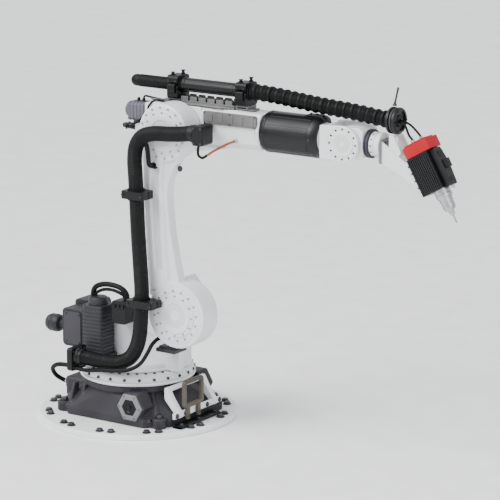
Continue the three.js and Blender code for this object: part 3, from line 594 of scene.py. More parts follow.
def front_frame_painted_light():
    """The frame on the sloping front of the base, painted white as painted light on the lit front face, with
    the dark bar along its foot.
    """
    lowest, highest = corners("front_plate")
    half, window, front = 0.185, 0.15, 0.414
    lit_frame_bm = bmesh.new()
    slope = [(0.4009, 0.073), (front - 0.0004, 0.073), (front - 0.0004, 0.108), (0.362, 0.18), (0.331, 0.236),
             (0.3135, 0.236), (0.3135, 0.18), (0.3175, 0.167)]
    for side in (-1, 1):
        edge = vec(0, side * (half + window) / 2, 0)
        prism(lit_frame_bm, slope, edge, X, Z, -(half - window) / 2, (half - window) / 2)
    bar_top = 0.078
    block(lit_frame_bm, (0.4005, -0.23, bar_top + 0.0005), (front, 0.23, 0.112), 0.004, X)
    block(lit_frame_bm, (0.314, -window - 0.005, 0.212), (0.338, window + 0.005, 0.2355), 0.004, Y)
    # painted light: the frame's white paint stands in for the strong light on the base's dark front face
    finished("front_frame_painted_light", lit_frame_bm, PLATE_WHITE, "base", bevel=0.0025, replaces=("front_plate",))
    bar = bmesh.new()
    block(bar, (0.4005, -0.23, lowest.z), (front + 0.002, 0.23, bar_top), 0.004, Y)
    block(bar, (front - 0.002, -0.23, lowest.z), (highest.x, 0.15, 0.046), 0.01, Y)
    finished("front_bar", bar, PLASTIC, "base", bevel=0.0025)
    bolts = bmesh.new()
    for y in (-0.205, -0.125, 0.085, 0.205):
        hex_bolt(bolts, (front, y, 0.095), X, 0.011, 0.009)
    for y in (-0.2, -0.04, 0.12):
        hex_bolt(bolts, (0.442, y, 0.046), Z, 0.011, 0.01)
    finished("front_bolts", bolts, SCREW, "base")


def fork_bracket():
    """The square loop for a fork tine or a sling, on two legs."""
    lowest, highest = corners("fork_loop")
    top, bottom = highest.z, 0.128
    centre = vec((lowest.x + highest.x) / 2, (lowest.y + highest.y) / 2, (top + bottom) / 2)
    wide, tall, thick = highest.y - lowest.y, top - bottom, 0.0225
    loop = bmesh.new()
    outline = rounded(wide - thick, tall - thick, 0.014, 6)
    rings = []
    for a, b in outline:
        corner = vec(0, max(-wide / 2 + 0.025, min(wide / 2 - 0.025, a)),
                     max(-tall / 2 + 0.025, min(tall / 2 - 0.025, b)))
        away = (vec(0, a, b) - corner).normalized()
        ring = []
        for p, q in rounded(thick, thick, 0.005, 3):
            ring.append(loop.verts.new(centre + vec(0, a, b) + away * p + X * q))
        rings.append(ring)
    for one, two in zip(rings, rings[1:] + rings[:1]):
        for i in range(len(one)):
            k = (i + 1) % len(one)
            loop.faces.new((one[i], one[k], two[k], two[i]))
    finished("fork_loop_frame", loop, BROWN, "base", replaces=("fork_loop",), angle=50)
    legs = bmesh.new()
    for y in (-0.121, -0.019):
        block(legs, (lowest.x + 0.001, y - 0.013, lowest.z), (highest.x - 0.002, y + 0.013, 0.132), 0.004, Z)
    finished("fork_loop_legs", legs, BROWN, "base", bevel=0.002)
    bolts = bmesh.new()
    for y in (-0.121, -0.019):
        hex_bolt(bolts, (highest.x - 0.002, y, 0.082), X, 0.008, 0.0018)
    finished("fork_loop_bolts", bolts, SCREW, "base")


# ---------------------------------------------------------------- column
def turret():
    """The stepped ring that turns on the base, with a row of screws round its edge and one on top."""
    lowest, highest = corners("turret_ring")
    radius, top, bottom = highest.x, highest.z, lowest.z
    simple("turret_plate", WHITE, "column", lathe,
           [(0.216, bottom), (radius - 0.006, bottom), (radius, bottom + 0.006), (radius, bottom + 0.018),
            (radius - 0.008, bottom + 0.021), (radius - 0.008, top - 0.022), (radius - 0.011, top - 0.014),
            (radius - 0.018, top - 0.004), (radius - 0.026, top), (0.216, top)], Vector(), Z, 144,
           replaces=("turret_ring",))
    screws = bmesh.new()
    for out in spokes(24, 0.5, X, Y):
        screw(screws, out * (radius - 0.0085) + Z * (bottom + 0.036), out, 0.0085, 0.0075)
    for out in spokes(36, 0.5, X, Y):
        screw(screws, out * 0.283 + Z * top, Z, 0.008, 0.007)
    finished("turret_screws", screws, SCREW, "column")


def column_details(bm):
    """Ribs and the raised flange of the column."""
    spun(bm, [(0.269, 0), (0.269, 0.016)], (0, 0, low("column_casting").z), Z, 72)
    for x in (-0.03, 0.13):
        prism(bm, [(0, 0), (0.13, 0), (0.06, 0.16), (0, 0.22)], (x, 0.098, 0.33), Y, Z, -0.009, 0.009)
    block(bm, (0.02, -0.086, 0.5), (0.2, -0.078, 0.7), 0.03, Y)


def column():
    casting("column_body", "column_casting", WHITE, "column", column_details, voxel=0.005, rounds=8)


def motor(name, node, axis, body, tail, finish=None, plug_side=None):
    """A square servo motor: flange, ribbed body with round corners, brake cap and its two plugs."""
    finish = finish or MOTOR
    lowest, highest = corners(node)
    centre = (lowest + highest) / 2
    size = highest - lowest
    length = abs(size.dot(axis))
    wide = min(abs(size.dot(side)) for side in (X, Y, Z) if abs(side.dot(axis)) < 0.5)
    start = centre - axis * length / 2
    u, v = across(axis)
    bm = bmesh.new()
    body_end = length - tail
    prism(bm, rounded(wide, wide, 0.012), start, u, v, 0.0, 0.02)
    square = wide * 0.9
    ribs = max(3, int((body_end - 0.05) / 0.02))
    prism(bm, rounded(square * 0.95, square * 0.95, 0.02), start, u, v, 0.019, body_end - 0.002)
    step = (body_end - 0.045) / ribs
    for n in range(ribs):
        at = 0.03 + step * n
        prism(bm, rounded(square, square, 0.022), start, u, v, at, at + step * 0.62)
    prism(bm, rounded(square * 0.98, square * 0.98, 0.018), start, u, v, body_end - 0.014, body_end)
    spun(bm, [(square * 0.4, body_end - 0.001), (square * 0.4, length - 0.012),
              (square * 0.36, length - 0.002), (square * 0.3, length)], start, axis, 36)
    finished(name, bm, finish, body, bevel=0.0018, replaces=(node,))
    points = [start + axis * body_end + (u * a + v * b) * square * 0.4 for a in (-1, 1) for b in (-1, 1)]
    screws_at(name + "_screws", SCREW, body, points, axis, 0.0055, 0.004)
    if plug_side:
        plugs = bmesh.new()
        for along in (0.35, 0.62):
            at = start + axis * body_end * along + plug_side * square * 0.49
            half = Vector([0.02 if abs(along_axis) > 0.5 else 0.018 for along_axis in axis])
            block(plugs, at - half, at + half, 0.004, plug_side)
            round_plug(plugs, at + plug_side * 0.01, plug_side, 0.013, 0.034)
        finished(name + "_plugs", plugs, PLASTIC, body, bevel=0.001)


def round_plug(bm, at, out, radius, length):
    """A round cable plug with a stepped nut."""
    spun(bm, [(radius, -0.002), (radius, length * 0.3), (radius * 0.86, length * 0.34),
              (radius * 0.86, length * 0.52), (radius * 0.98, length * 0.56), (radius * 0.98, length * 0.8),
              (radius * 0.6, length)], at, out, 20)


def junction():
    """The housing through the foot of the column, with a lid at each end."""
    lowest, highest = corners("junction_box")
    box_bm = bmesh.new()
    face = -0.072
    block(box_bm, (lowest.x, face, lowest.z), (highest.x, highest.y, highest.z), 0.026, Y)
    block(box_bm, (lowest.x, lowest.y, 0.38), (highest.x - 0.004, face + 0.002, 0.6), 0.026, Y)
    finished("junction_housing", box_bm, MOTOR, "column", bevel=0.006, segments=3, replaces=("junction_box",))
    lid = bmesh.new()
    block(lid, (lowest.x + 0.016, highest.y - 0.001, lowest.z + 0.02),
          (highest.x - 0.016, highest.y + 0.007, highest.z - 0.02), 0.02, Y)
    block(lid, (lowest.x + 0.018, lowest.y - 0.006, 0.396), (highest.x - 0.022, lowest.y + 0.001, 0.584),
          0.016, Y)
    finished("junction_lids", lid, DARK, "column", bevel=0.002)
    screws = bmesh.new()
    for x in (lowest.x + 0.03, highest.x - 0.034):
        for z in (0.409, 0.571):
            screw(screws, (x, lowest.y - 0.006, z), -Y, 0.006, 0.004)
        for z in (lowest.z + 0.034, highest.z - 0.034):
            screw(screws, (x, highest.y + 0.007, z), Y, 0.006, 0.004)
    finished("junction_screws", screws, SCREW, "column")


def rear_plug():
    """The round plug that sticks out behind the column, on a ribbed neck."""
    lowest, highest = corners("rear_gland")
    centre = vec(highest.x, (lowest.y + highest.y) / 2, (lowest.z + highest.z) / 2)
    length, radius = highest.x - lowest.x, (highest.z - lowest.z) / 2
    bm = bmesh.new()
    profile = [(0, 0), (0.036, 0), (0.036, 0.018), (0.028, 0.024)]
    for n in range(7):
        at = 0.028 + n * 0.0105
        profile += [(0.026, at), (0.0285, at + 0.003), (0.0285, at + 0.006), (0.026, at + 0.009)]
    profile += [(0.045, 0.11), (radius - 0.002, 0.12), (radius, 0.126), (radius, 0.15),
                (radius - 0.002, 0.155), (radius - 0.002, 0.162), (radius, 0.167), (radius - 0.003, 0.176),
                (0.041, length - 0.006), (0.034, length - 0.001), (0, length - 0.001)]
    lathe(bm, profile, centre, -X, 40)
    finished("rear_plug", bm, MOTOR, "column", replaces=("rear_gland",))


def cable_blocks():
    """The block beside the column where the motor cables end."""
    lowest, highest = corners("cable_block")
    bm = bmesh.new()
    block(bm, lowest, (highest.x, -0.092, highest.z), 0.014, Y)
    block(bm, (lowest.x + 0.02, -0.093, lowest.z + 0.02), (highest.x - 0.02, highest.y, lowest.z + 0.07),
          0.004, Y)
    for n in range(3):
        x = lowest.x + 0.02 + n * 0.028
        spun(bm, [(0.011, 0), (0.011, 0.01), (0.008, 0.013)], (x, lowest.y + 0.004, highest.z - 0.03), -Y, 16)
    finished("cable_junction", bm, PLASTIC, "column", bevel=0.003, replaces=("cable_block",))


CABLE_ARCH = [
    (-0.184, -0.165, 0.6925), (-0.184, -0.165, 0.712), (-0.168, -0.163, 0.742), (-0.122, -0.16, 0.762),
    (-0.062, -0.157, 0.766), (-0.004, -0.154, 0.756), (0.028, -0.15, 0.734), (0.036, -0.147, 0.712),
    (0.036, -0.147, 0.6905),
]
MAIN_HOSE = [
    (-0.167, -0.332, 0.378), (-0.09, -0.332, 0.378), (0.02, -0.33, 0.375), (0.11, -0.324, 0.384),
    (0.176, -0.313, 0.418), (0.214, -0.306, 0.478), (0.234, -0.302, 0.55), (0.242, -0.3, 0.64),
    (0.247, -0.3, 0.74), (0.25, -0.3, 0.8), (0.241, -0.3, 0.95), (0.228, -0.3, 1.15),
    (0.22, -0.3, 1.34), (0.214, -0.3, 1.45), (0.21, -0.3, 1.53), (0.222, -0.3, 1.606),
    (0.262, -0.3, 1.66), (0.33, -0.3, 1.684), (0.43, -0.299, 1.692), (0.52, -0.298, 1.701),
    (0.586, -0.297, 1.711), (0.6172, -0.297, 1.711),
]
SHOULDER_POINT, ARM_POINT, ELBOW_POINT = 5, 9, 13
LOWER_CABLE = [
    (0.296, -0.0803, 0.52), (0.296, -0.12, 0.52), (0.296, -0.17, 0.521), (0.294, -0.225, 0.518),
    (0.288, -0.262, 0.496), (0.28, -0.292, 0.456), (0.256, -0.326, 0.4), (0.204, -0.352, 0.364),
    (0.11, -0.371, 0.346), (0.02, -0.378, 0.338), (-0.08, -0.368, 0.318), (-0.167, -0.366, 0.318),
]
TOOL_HOSE = [
    (0.7704, 0, 1.911), (0.83, 0, 1.911), (0.93, 0, 1.906), (1.05, 0, 1.895), (1.17, 0, 1.884),
    (1.29, 0, 1.875), (1.4, 0, 1.868), (1.49, 0, 1.86), (1.56, 0, 1.852), (1.61, 0, 1.848),
    (1.639, 0, 1.848),
]
WRIST_POINT, HAND_POINT = 5, 7


def ribbed(radius, pitch, depth):
    """The radius of a conduit with small even ribs."""
    return lambda distance: radius - depth * (0.5 - 0.5 * math.cos(math.tau * distance / pitch)) ** 0.7


def round_hose(*steps):
    """A profile given as heights above the long hose and distances along it."""
    return [(HOSE_RADIUS + height, along) for height, along in steps]


def hose_piece(name, bm, body, replaces, ends):
    """A length of hose that rides on one body, or, where ends are given, is baked in place on no body."""
    piece = finished(name, bm, RUBBER, body, replaces=replaces, angle=60)
    if ends:
        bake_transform(piece)


def main_hose(name, body, replaces, first, last, ends=None):
    """A stretch of the long hose, between two numbered points of its route."""
    bm = bmesh.new()
    pitch = 0.009
    sweep(bm, smooth_path(MAIN_HOSE, pitch / 4, first, last), ribbed(HOSE_RADIUS, pitch, 0.0022), 28)
    hose_piece(name, bm, body, replaces, ends)


def tool_hose(name, body, replaces, first, last, ends=None):
    """The dress-pack hose at the wrist: a fine ribbed conduit with thicker protection rings along it."""
    bm = bmesh.new()
    pitch, ring_pitch, ring_height = 0.0085, 0.0473, 0.0058
    path = smooth_path(TOOL_HOSE, pitch / 4, first, last)
    before = smooth_path(TOOL_HOSE, 0.01, 0, first) if first else []
    start = sum((b - a).length for a, b in zip(before, before[1:]))
    fine = ribbed(WRIST_HOSE_RADIUS, pitch, 0.003)

    def radius(distance):
        along = (distance + start + 0.035) % ring_pitch / ring_pitch
        lobe = max(0.0, 1 - abs(along - 0.5) / 0.2)
        swell = min(1.0, lobe * 2.2)
        return fine(distance) * (1 - swell) + (WRIST_HOSE_RADIUS + ring_height) * swell

    sweep(bm, path, radius, 28)
    hose_piece(name, bm, body, replaces, ends)


def hub_shadow_block():
    """A thin dark block on the column under the second axis: painted shadow of the hub, shaped as a small
    stop.
    """
    bm = bmesh.new()
    # painted shadow: the dark paint on these blocks stands for the shadow band under the hub
    block(bm, (0.262, -0.19, 0.44), (0.392, -0.0795, 0.462), 0.005, Y)
    block(bm, (0.276, -0.182, 0.461), (0.378, -0.1, 0.474), 0.005, Y)
    finished("hub_shadow_block", bm, DARK, "column", bevel=0.0015)


def column_lines():
    """The cables and the lower hose on the column, and the anchor that holds the hose."""
    cable("cable_arch", CABLE_ARCH, 0.015, RUBBER, "column", ("motor_cable_arch",))
    inner = [(x * 0.86 - 0.011, y + 0.004, z - 0.03 * min(1, max(0, (z - 0.697) / 0.05)))
             for x, y, z in CABLE_ARCH]
    cable("cable_arch_inner", inner, 0.0095, RUBBER, "column")
    cable("lower_line", LOWER_CABLE, 0.011, RUBBER, "column", ("lower_cable",))
    main_hose("hose_column", "column", ("column_hose",), 0, SHOULDER_POINT)
    main_hose("hose_shoulder", None, ("shoulder_hose",), SHOULDER_POINT, ARM_POINT,
              ("column", "link_arm", MAIN_HOSE[SHOULDER_POINT], MAIN_HOSE[ARM_POINT]))
    lowest, highest = corners("hose_bracket")
    simple("hose_anchor", PLASTIC, "column", block, lowest, highest, 0.016, X, bevel=0.003,
           replaces=("hose_bracket",))
    simple("hose_anchor_collar", PLASTIC, "column", lathe,
           round_hose((-0.004, 0), (0.01, 0), (0.01, 0.02), (0.006, 0.024), (0.006, 0.04), (-0.004, 0.046)),
           MAIN_HOSE[0], X, 36)
    points = grid((highest.x,), (lowest.y + 0.016, highest.y - 0.02), (lowest.z + 0.018, highest.z - 0.018))
    screws_at("hose_anchor_screws", SCREW, "column", points, X, 0.006, 0.005)


# ---------------------------------------------------------------- link arm
def link_details(bm):
    """Raised rims round both hubs, on both faces, and the stud of the rubber stop."""
    near = low("link_arm_casting").y
    far = high("link_arm_casting").y
    for joint in ("a2", "a3"):
        centre = on_axis(joint, near)
        lathe(bm, [(0.128, -0.01), (0.15, -0.01), (0.15, 0.0045), (0.128, 0.0045)], centre, -Y, 64)
    for joint, outer in (("a2", 0.172), ("a3", 0.148)):
        centre = on_axis(joint, far)
        lathe(bm, [(0.1, -0.02), (outer, -0.02), (outer, 0.003), (0.1, 0.003)], centre, Y, 64)
    spun(bm, [(0.014, 0), (0.014, 0.026), (0.011, 0.03)], (0.396, -0.188, 1.484), X, 20)


def link_pockets(bm):
    """Long shallow recesses in both faces of the arm."""
    near, far = low("link_arm_casting").y, -0.12
    outline = [(0.272, 1.49), (0.322, 1.49), (0.314, 1.36), (0.332, 1.02), (0.338, 0.92), (0.292, 0.92),
               (0.283, 1.02), (0.262, 1.36)]
    prism(bm, outline, Vector(), X, Z, -(near + 0.012), -(near - 0.01))
    prism(bm, outline, Vector(), X, Z, -(far + 0.01), -(far - 0.022))


def hub_cover(name, joint, node, radius):
    """A round lid over a gear hub, with its ring of screws and a raised centre."""
    near = low(node).y
    centre = on_axis(joint, high(node).y)
    deep = high(node).y - near
    simple(name, WHITE, "link_arm", spun,
           [(radius, 0), (radius, deep * 0.45), (radius - 0.003, deep * 0.62), (radius - 0.022, deep * 0.62),
            (radius - 0.025, deep * 0.98), (radius - 0.05, deep * 0.98), (radius - 0.054, deep * 0.78),
            (0.03, deep * 0.78), (0.027, deep * 0.95)], centre, -Y, 72, replaces=(node,))
    points = around(centre - Y * deep * 0.62, -Y, radius - 0.011, 12)
    screws_at(name + "_screws", ZINC, "link_arm", points, -Y, 0.0055, 0.0035)


def hose_clamp(name, node):
    """Two bolted halves round the hose, on a short foot."""
    lowest, highest = corners(node)
    at = min(smooth_path(MAIN_HOSE, 0.01, 6, 14), key=lambda p: abs(p.z - (lowest.z + highest.z) / 2))
    bm = bmesh.new()
    bottom, top = lowest.z, highest.z
    left, right = lowest.x, highest.x
    seat = highest.y
    front, rear = lowest.y, -0.252
    for a, b in ((front, at.y - 0.0012), (at.y + 0.0012, rear)):
        block(bm, (left, a, bottom), (right, b, top), 0.008, Z)
    block(bm, (at.x - 0.024, rear - 0.002, bottom + 0.004), (at.x + 0.044, seat, top - 0.004), 0.004, Z)
    piece = finished(name, bm, PLASTIC, "link_arm", replaces=(node,))
    bore = bmesh.new()
    spun(bore, round_hose((0.0008, -0.05), (0.0008, 0.05)), at, Z, 40)
    cut_away(piece, bore, "EXACT", use_self=True)
    piece.data.set_sharp_from_angle(angle=math.radians(EDGE_ANGLE))
    rounding(piece, 0.0025)
    collar = bmesh.new()
    rim = round_hose((-0.003, -0.004), (0.006, -0.004), (0.006, 0.004), (-0.003, 0.004))
    for z in (top + 0.004, bottom - 0.004):
        lathe(collar, rim, (at.x, at.y, z), Z, 36)
    finished(name + "_collars", collar, RUBBER, "link_arm")
    screws_at(name + "_screws", SCREW, "link_arm",
              grid((left + 0.009, right - 0.012), (front,), ((bottom + top) / 2,)), -Y, 0.0065, 0.006)


def link_arm():
    """The long arm between the second and third axes, with its lids, clamps and hose."""
    casting("link_arm_body", "link_arm_casting", WHITE, "link_arm", link_details, link_pockets, voxel=0.005,
            rounds=7)
    hub_cover("a2_cover", "a2", "a2_hub_cover", 0.122)
    hub_cover("a3_cover", "a3", "a3_hub_cover", 0.122)
    near = low("link_arm_casting").y - 0.0015
    points = [at for joint in ("a2", "a3") for at in around(on_axis(joint, near), -Y, 0.139, 16, 0.1)]
    screws_at("hub_screws", ZINC, "link_arm", points, -Y, 0.0065, 0.006)
    hose_clamp("clamp_low", "hose_clamp_low")
    hose_clamp("clamp_mid", "hose_clamp_mid")
    main_hose("hose_arm", "link_arm", ("arm_hose",), ARM_POINT, ELBOW_POINT)
    main_hose("hose_elbow", None, ("elbow_hose",), ELBOW_POINT, len(MAIN_HOSE) - 1,
              ("link_arm", "forearm", MAIN_HOSE[ELBOW_POINT], MAIN_HOSE[-3]))
    simple("arm_stop", SEAL, "link_arm", spun, [(0.013, 0), (0.016, 0.003), (0.016, 0.012), (0.012, 0.016)],
           (0.4245, -0.188, 1.484), X, 24)
    branch_cable()


BRANCH_CABLE = [
    (0.292, -0.236, 1.496), (0.292, -0.262, 1.496), (0.293, -0.282, 1.51), (0.293, -0.288, 1.545),
    (0.29, -0.29, 1.585), (0.284, -0.294, 1.618), (0.274, -0.298, 1.64),
]


def branch_cable():
    """A cable that leaves the hose at its bend and runs down into a gland on the arm."""
    branch = cable("branch_line", BRANCH_CABLE, 0.0125, RUBBER, None)
    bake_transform(branch)
    seat = vec(0.292, -0.2205, 1.496)
    simple("branch_gland", PLASTIC, "link_arm", spun,
           [(0.021, 0), (0.021, 0.012), (0.017, 0.014), (0.017, 0.026)], seat, -Y, 20)


# ---------------------------------------------------------------- forearm
ARM_Z = AXIS["a4"].z


def forearm_details(bm):
    """The front flange and two ribs of the forearm."""
    highest = high("forearm_casting")
    lathe(bm, [(0.06, -0.022), (0.1, -0.022), (0.1, 0.0), (0.06, 0.0)], (highest.x, 0, ARM_Z), X, 48)
    for x in (0.5, 0.58):
        block(bm, (x - 0.006, 0.08, ARM_Z - 0.11), (x + 0.006, 0.124, ARM_Z + 0.07), 0.004, Y)


def forearm():
    """The forearm casting, its screws and lines, and what stands on it."""
    casting("forearm_body", "forearm_casting", WHITE, "forearm", forearm_details, voxel=0.004, rounds=7)
    highest = high("forearm_casting")
    points = around(vec(highest.x - 0.022, 0, ARM_Z), -X, 0.093, 12)
    screws_at("forearm_screws", ZINC, "forearm", points, -X, 0.005, 0.005)
    centre = on_axis("a3", highest.y)
    simple("a3_ring", STEEL, "forearm", lathe,
           [(0.099, -0.002), (0.126, -0.002), (0.126, 0.003), (0.122, 0.006), (0.103, 0.006), (0.099, 0.003)],
           centre - Y * 0.004, Y, 56)
    top_equipment()
    cable("signal_sheath", SIGNAL_CABLE, 0.0072, RUBBER, "forearm", ("signal_cable",), 0.006, (0, SHEATH_END))
    cable("signal_line", SIGNAL_CABLE, 0.0066, COPPER, "forearm", ("signal_cable",), 0.006,
          (SHEATH_END - 0.15, None))
    simple("signal_plug", STEEL, "forearm", spun,
           [(0.012, -0.001), (0.012, 0.006), (0.01, 0.008), (0.01, 0.02), (0.0085, 0.024)],
           Vector(SIGNAL_CABLE[-1]) + Y * 0.0003, -Y, 18)
    side_clamp()
    retractor()


SIGNAL_CABLE = [
    (0.634, -0.3, ARM_Z - 0.0543), (0.629, -0.3, 1.626), (0.632, -0.3, 1.598), (0.654, -0.298, 1.586),
    (0.682, -0.292, 1.602), (0.704, -0.274, 1.62), (0.722, -0.236, 1.636), (0.732, -0.19, 1.648),
    (0.732, -0.15, 1.652), (0.731, -0.116, 1.653), (0.731, -0.0883, 1.653),
]
SHEATH_END = 4


def side_clamp():
    """The black block that holds the hose's upper end at the side of the forearm."""
    lowest, highest = corners("side_hose_clamp")
    bm = bmesh.new()
    rear, front = 0.618, 0.69
    block(bm, (rear, lowest.y, lowest.z), (front, -0.246, highest.z), 0.016, Y)
    foot = [(rear + 0.014, -0.25), (front - 0.01, -0.25), (front - 0.118, highest.y),
            (rear - 0.098, highest.y)]
    prism(bm, foot, Vector(), X, Y, lowest.z + 0.022, highest.z - 0.03)
    finished("side_clamp", bm, PLASTIC, "forearm", bevel=0.004, replaces=("side_hose_clamp",))
    simple("side_clamp_collar", PLASTIC, "forearm", lathe,
           round_hose((-0.004, 0), (0.0075, 0), (0.0075, 0.016), (0.004, 0.02), (0.004, 0.034),
                      (-0.004, 0.04)), MAIN_HOSE[-1], -X, 36)
    points = grid((rear + 0.014, front - 0.014), (lowest.y,), (lowest.z + 0.014, highest.z - 0.014))
    screws_at("side_clamp_screws", SCREW, "forearm", points, -Y, 0.0065, 0.005)


def retractor():
    """The spring tube on top of the forearm that keeps the dress-pack hose tight."""
    tube_low, tube_high = corners("retractor_tube")
    centre = middle("retractor_tube")
    radius = (tube_high.z - tube_low.z) / 2
    length = tube_high.x - tube_low.x
    tube = bmesh.new()
    profile = [(0, 0), (radius, 0), (radius, 0.026), (radius - 0.003, 0.03)]
    profile += [(radius - 0.003, length - 0.03), (radius, length - 0.026), (radius, length), (0, length)]
    lathe(tube, profile, (tube_low.x, centre.y, centre.z), X, 56)
    for angle in (0.9, 2.3, 4.0, 5.4):
        out = vec(0, math.cos(angle), math.sin(angle))
        start = vec(tube_low.x + 0.03, 0, centre.z) + out * (radius - 0.004)
        prism(tube, rounded(0.012, 0.006, 0.002, 2), start, out.cross(X), out, 0.0, length - 0.06)
    finished("retractor_barrel", tube, GLOSS, "forearm", replaces=("retractor_tube",))
    cap_low, cap_high = corners("retractor_rear_cap")
    cap_centre = vec(cap_high.x, 0, (cap_low.z + cap_high.z) / 2)
    cap_radius, cap_length = (cap_high.z - cap_low.z) / 2, cap_high.x - cap_low.x
    cap = bmesh.new()
    profile = [(0, 0), (cap_radius - 0.002, 0)]
    ribs = int((cap_length - 0.045) / 0.012)
    for n in range(ribs):
        at = 0.002 + n * 0.012
        profile += [(cap_radius - 0.003, at), (cap_radius, at + 0.003), (cap_radius, at + 0.008),
                    (cap_radius - 0.003, at + 0.011)]
    profile += [(cap_radius - 0.001, cap_length - 0.036), (cap_radius * 0.9, cap_length - 0.018),
                (cap_radius * 0.62, cap_length - 0.005), (cap_radius * 0.3, cap_length - 0.001),
                (0, cap_length - 0.001)]
    lathe(cap, profile, cap_centre, -X, 48)
    finished("retractor_tail", cap, RUBBER, "forearm", replaces=("retractor_rear_cap",), angle=50)
    for end_name in ("rear", "front"):
        retractor_clamp(f"retractor_clamp_{end_name}", f"retractor_{end_name}_block")
    tool_hose("hose_wrist_a4", None, ("wrist_hose_a4",), 0, WRIST_POINT,
              ("forearm", "wrist", TOOL_HOSE[1], TOOL_HOSE[WRIST_POINT]))


def retractor_clamp(node, name):
    """A block in two halves that holds the spring tube, with knobs on top and a ring at each end."""
    lowest, highest = corners(node)
    z = middle("retractor_tube").z
    half = 0.058
    bm = bmesh.new()
    block(bm, (lowest.x, -half, lowest.z), (highest.x, half, z - 0.002), 0.012, X)
    block(bm, (lowest.x, -half, z + 0.002), (highest.x, half, z + 0.052), 0.02, X)
    block(bm, (lowest.x + 0.01, 0.006 - half, z - 0.01), (highest.x - 0.01, half - 0.006, z + 0.01))
    block(bm, (lowest.x + 0.012, -0.07, z - 0.044), (highest.x - 0.012, 0.004 - half, z + 0.006), 0.008, X)
    finished(name, bm, PLASTIC, "forearm", bevel=0.004, replaces=(node,))
    knobs = bmesh.new()
    for x, y, tall in ((lowest.x + 0.048, 0.03, 0.0225), (lowest.x + 0.022, -0.03, 0.0165)):
        spun(knobs, [(0.012, -0.002), (0.012, 0.005), (0.008, 0.007), (0.008, tall - 0.007),
                     (0.0125, tall - 0.005), (0.0125, tall - 0.001), (0.009, tall)], (x, y, z + 0.052), Z, 20)
    finished(name + "_knobs", knobs, PLASTIC, "forearm")
    rings = bmesh.new()
    for at, out in ((lowest.x, -X), (highest.x, X)):
        lathe(rings, [(0.036, -0.002), (0.048, -0.002), (0.048, 0.0035), (0.045, 0.006), (0.036, 0.006)],
              (at, 0, z), out, 44)
    finished(name + "_rings", rings, RUBBER, "forearm")
    screws_at(name + "_screws", SCREW, "forearm",
              grid((lowest.x + 0.012, highest.x - 0.012), (-half,), (z + 0.022,)), -Y, 0.0055, 0.005)


def top_equipment():
    """The grey rail, tray, valve block and air lines on top of the forearm, and the duct on its side."""
    lowest = low("retractor_rail")
    seat = low("retractor_clamp_rear").z - 0.0003
    bm = bmesh.new()
    block(bm, (0.196, -0.034, lowest.z), (0.806, 0.034, lowest.z + 0.008), 0.01, Z)
    for node in ("retractor_clamp_rear", "retractor_clamp_front"):
        rear, front = low(node).x - 0.004, high(node).x + 0.004
        block(bm, (rear + 0.0004, -0.0436, lowest.z + 0.007), (rear + 0.01, 0.0436, seat - 0.0004), 0.002, X)
        block(bm, (front - 0.01, -0.0436, lowest.z + 0.007), (front - 0.0004, 0.0436, seat - 0.0004),
              0.002, X)
        block(bm, (rear, -0.044, seat - 0.0085), (front, 0.044, seat), 0.002, Z)
    tray_top = seat + 0.018
    for n in range(6):
        x = 0.338 + n * 0.058
        for y in (-0.044, 0.038):
            block(bm, (x, y, lowest.z + 0.007), (x + 0.046, y + 0.006, tray_top), 0.006, Y)
    block(bm, (0.334, -0.0446, lowest.z + 0.01), (0.69, -0.036, lowest.z + 0.02), 0.002, X)
    finished("retractor_stand", bm, BRACKET, "forearm", bevel=0.0015, replaces=("retractor_rail",))
    valves = bmesh.new()
    for n in range(7):
        x = 0.352 + n * 0.046
        block(valves, (x, -0.03, lowest.z + 0.0075), (x + 0.038, 0.024, lowest.z + 0.036), 0.005, Y)
        spun(valves, [(0.0065, 0), (0.0065, 0.004), (0.005, 0.008)], (x + 0.019, -0.006, lowest.z + 0.036), Z,
             14)
    finished("valve_block", valves, MOTOR, "forearm", bevel=0.0015)
    duct = bmesh.new()
    face = -0.0885
    block(duct, (0.524, face - 0.014, 1.732), (0.866, face, 1.8), 0.01, Y)
    for n in range(5):
        x = 0.54 + n * 0.066
        block(duct, (x, face - 0.0175, 1.744), (x + 0.046, face - 0.013, 1.788), 0.006, Y)
    finished("forearm_duct", duct, BRACKET, "forearm", bevel=0.0015)
    points = grid((0.533, 0.697, 0.857), (face - 0.014,), (1.738, 1.794))
    screws_at("duct_screws", SCREW, "forearm", points, -Y, 0.0045, 0.003)
    lines = bmesh.new()
    for n in range(4):
        y = -0.05 - 0.009 * n
        z = lowest.z + 0.006
        route = [(0.69 - 0.02 * n, y, z), (0.5, y, z + 0.003), (0.32, y, z), (0.22, y * 0.8, z + 0.001),
                 (0.14, y * 0.55, z)]
        sweep(lines, smooth_path(route, 0.01), 0.0045, 10)
    finished("air_lines", lines, BRACKET, "forearm")


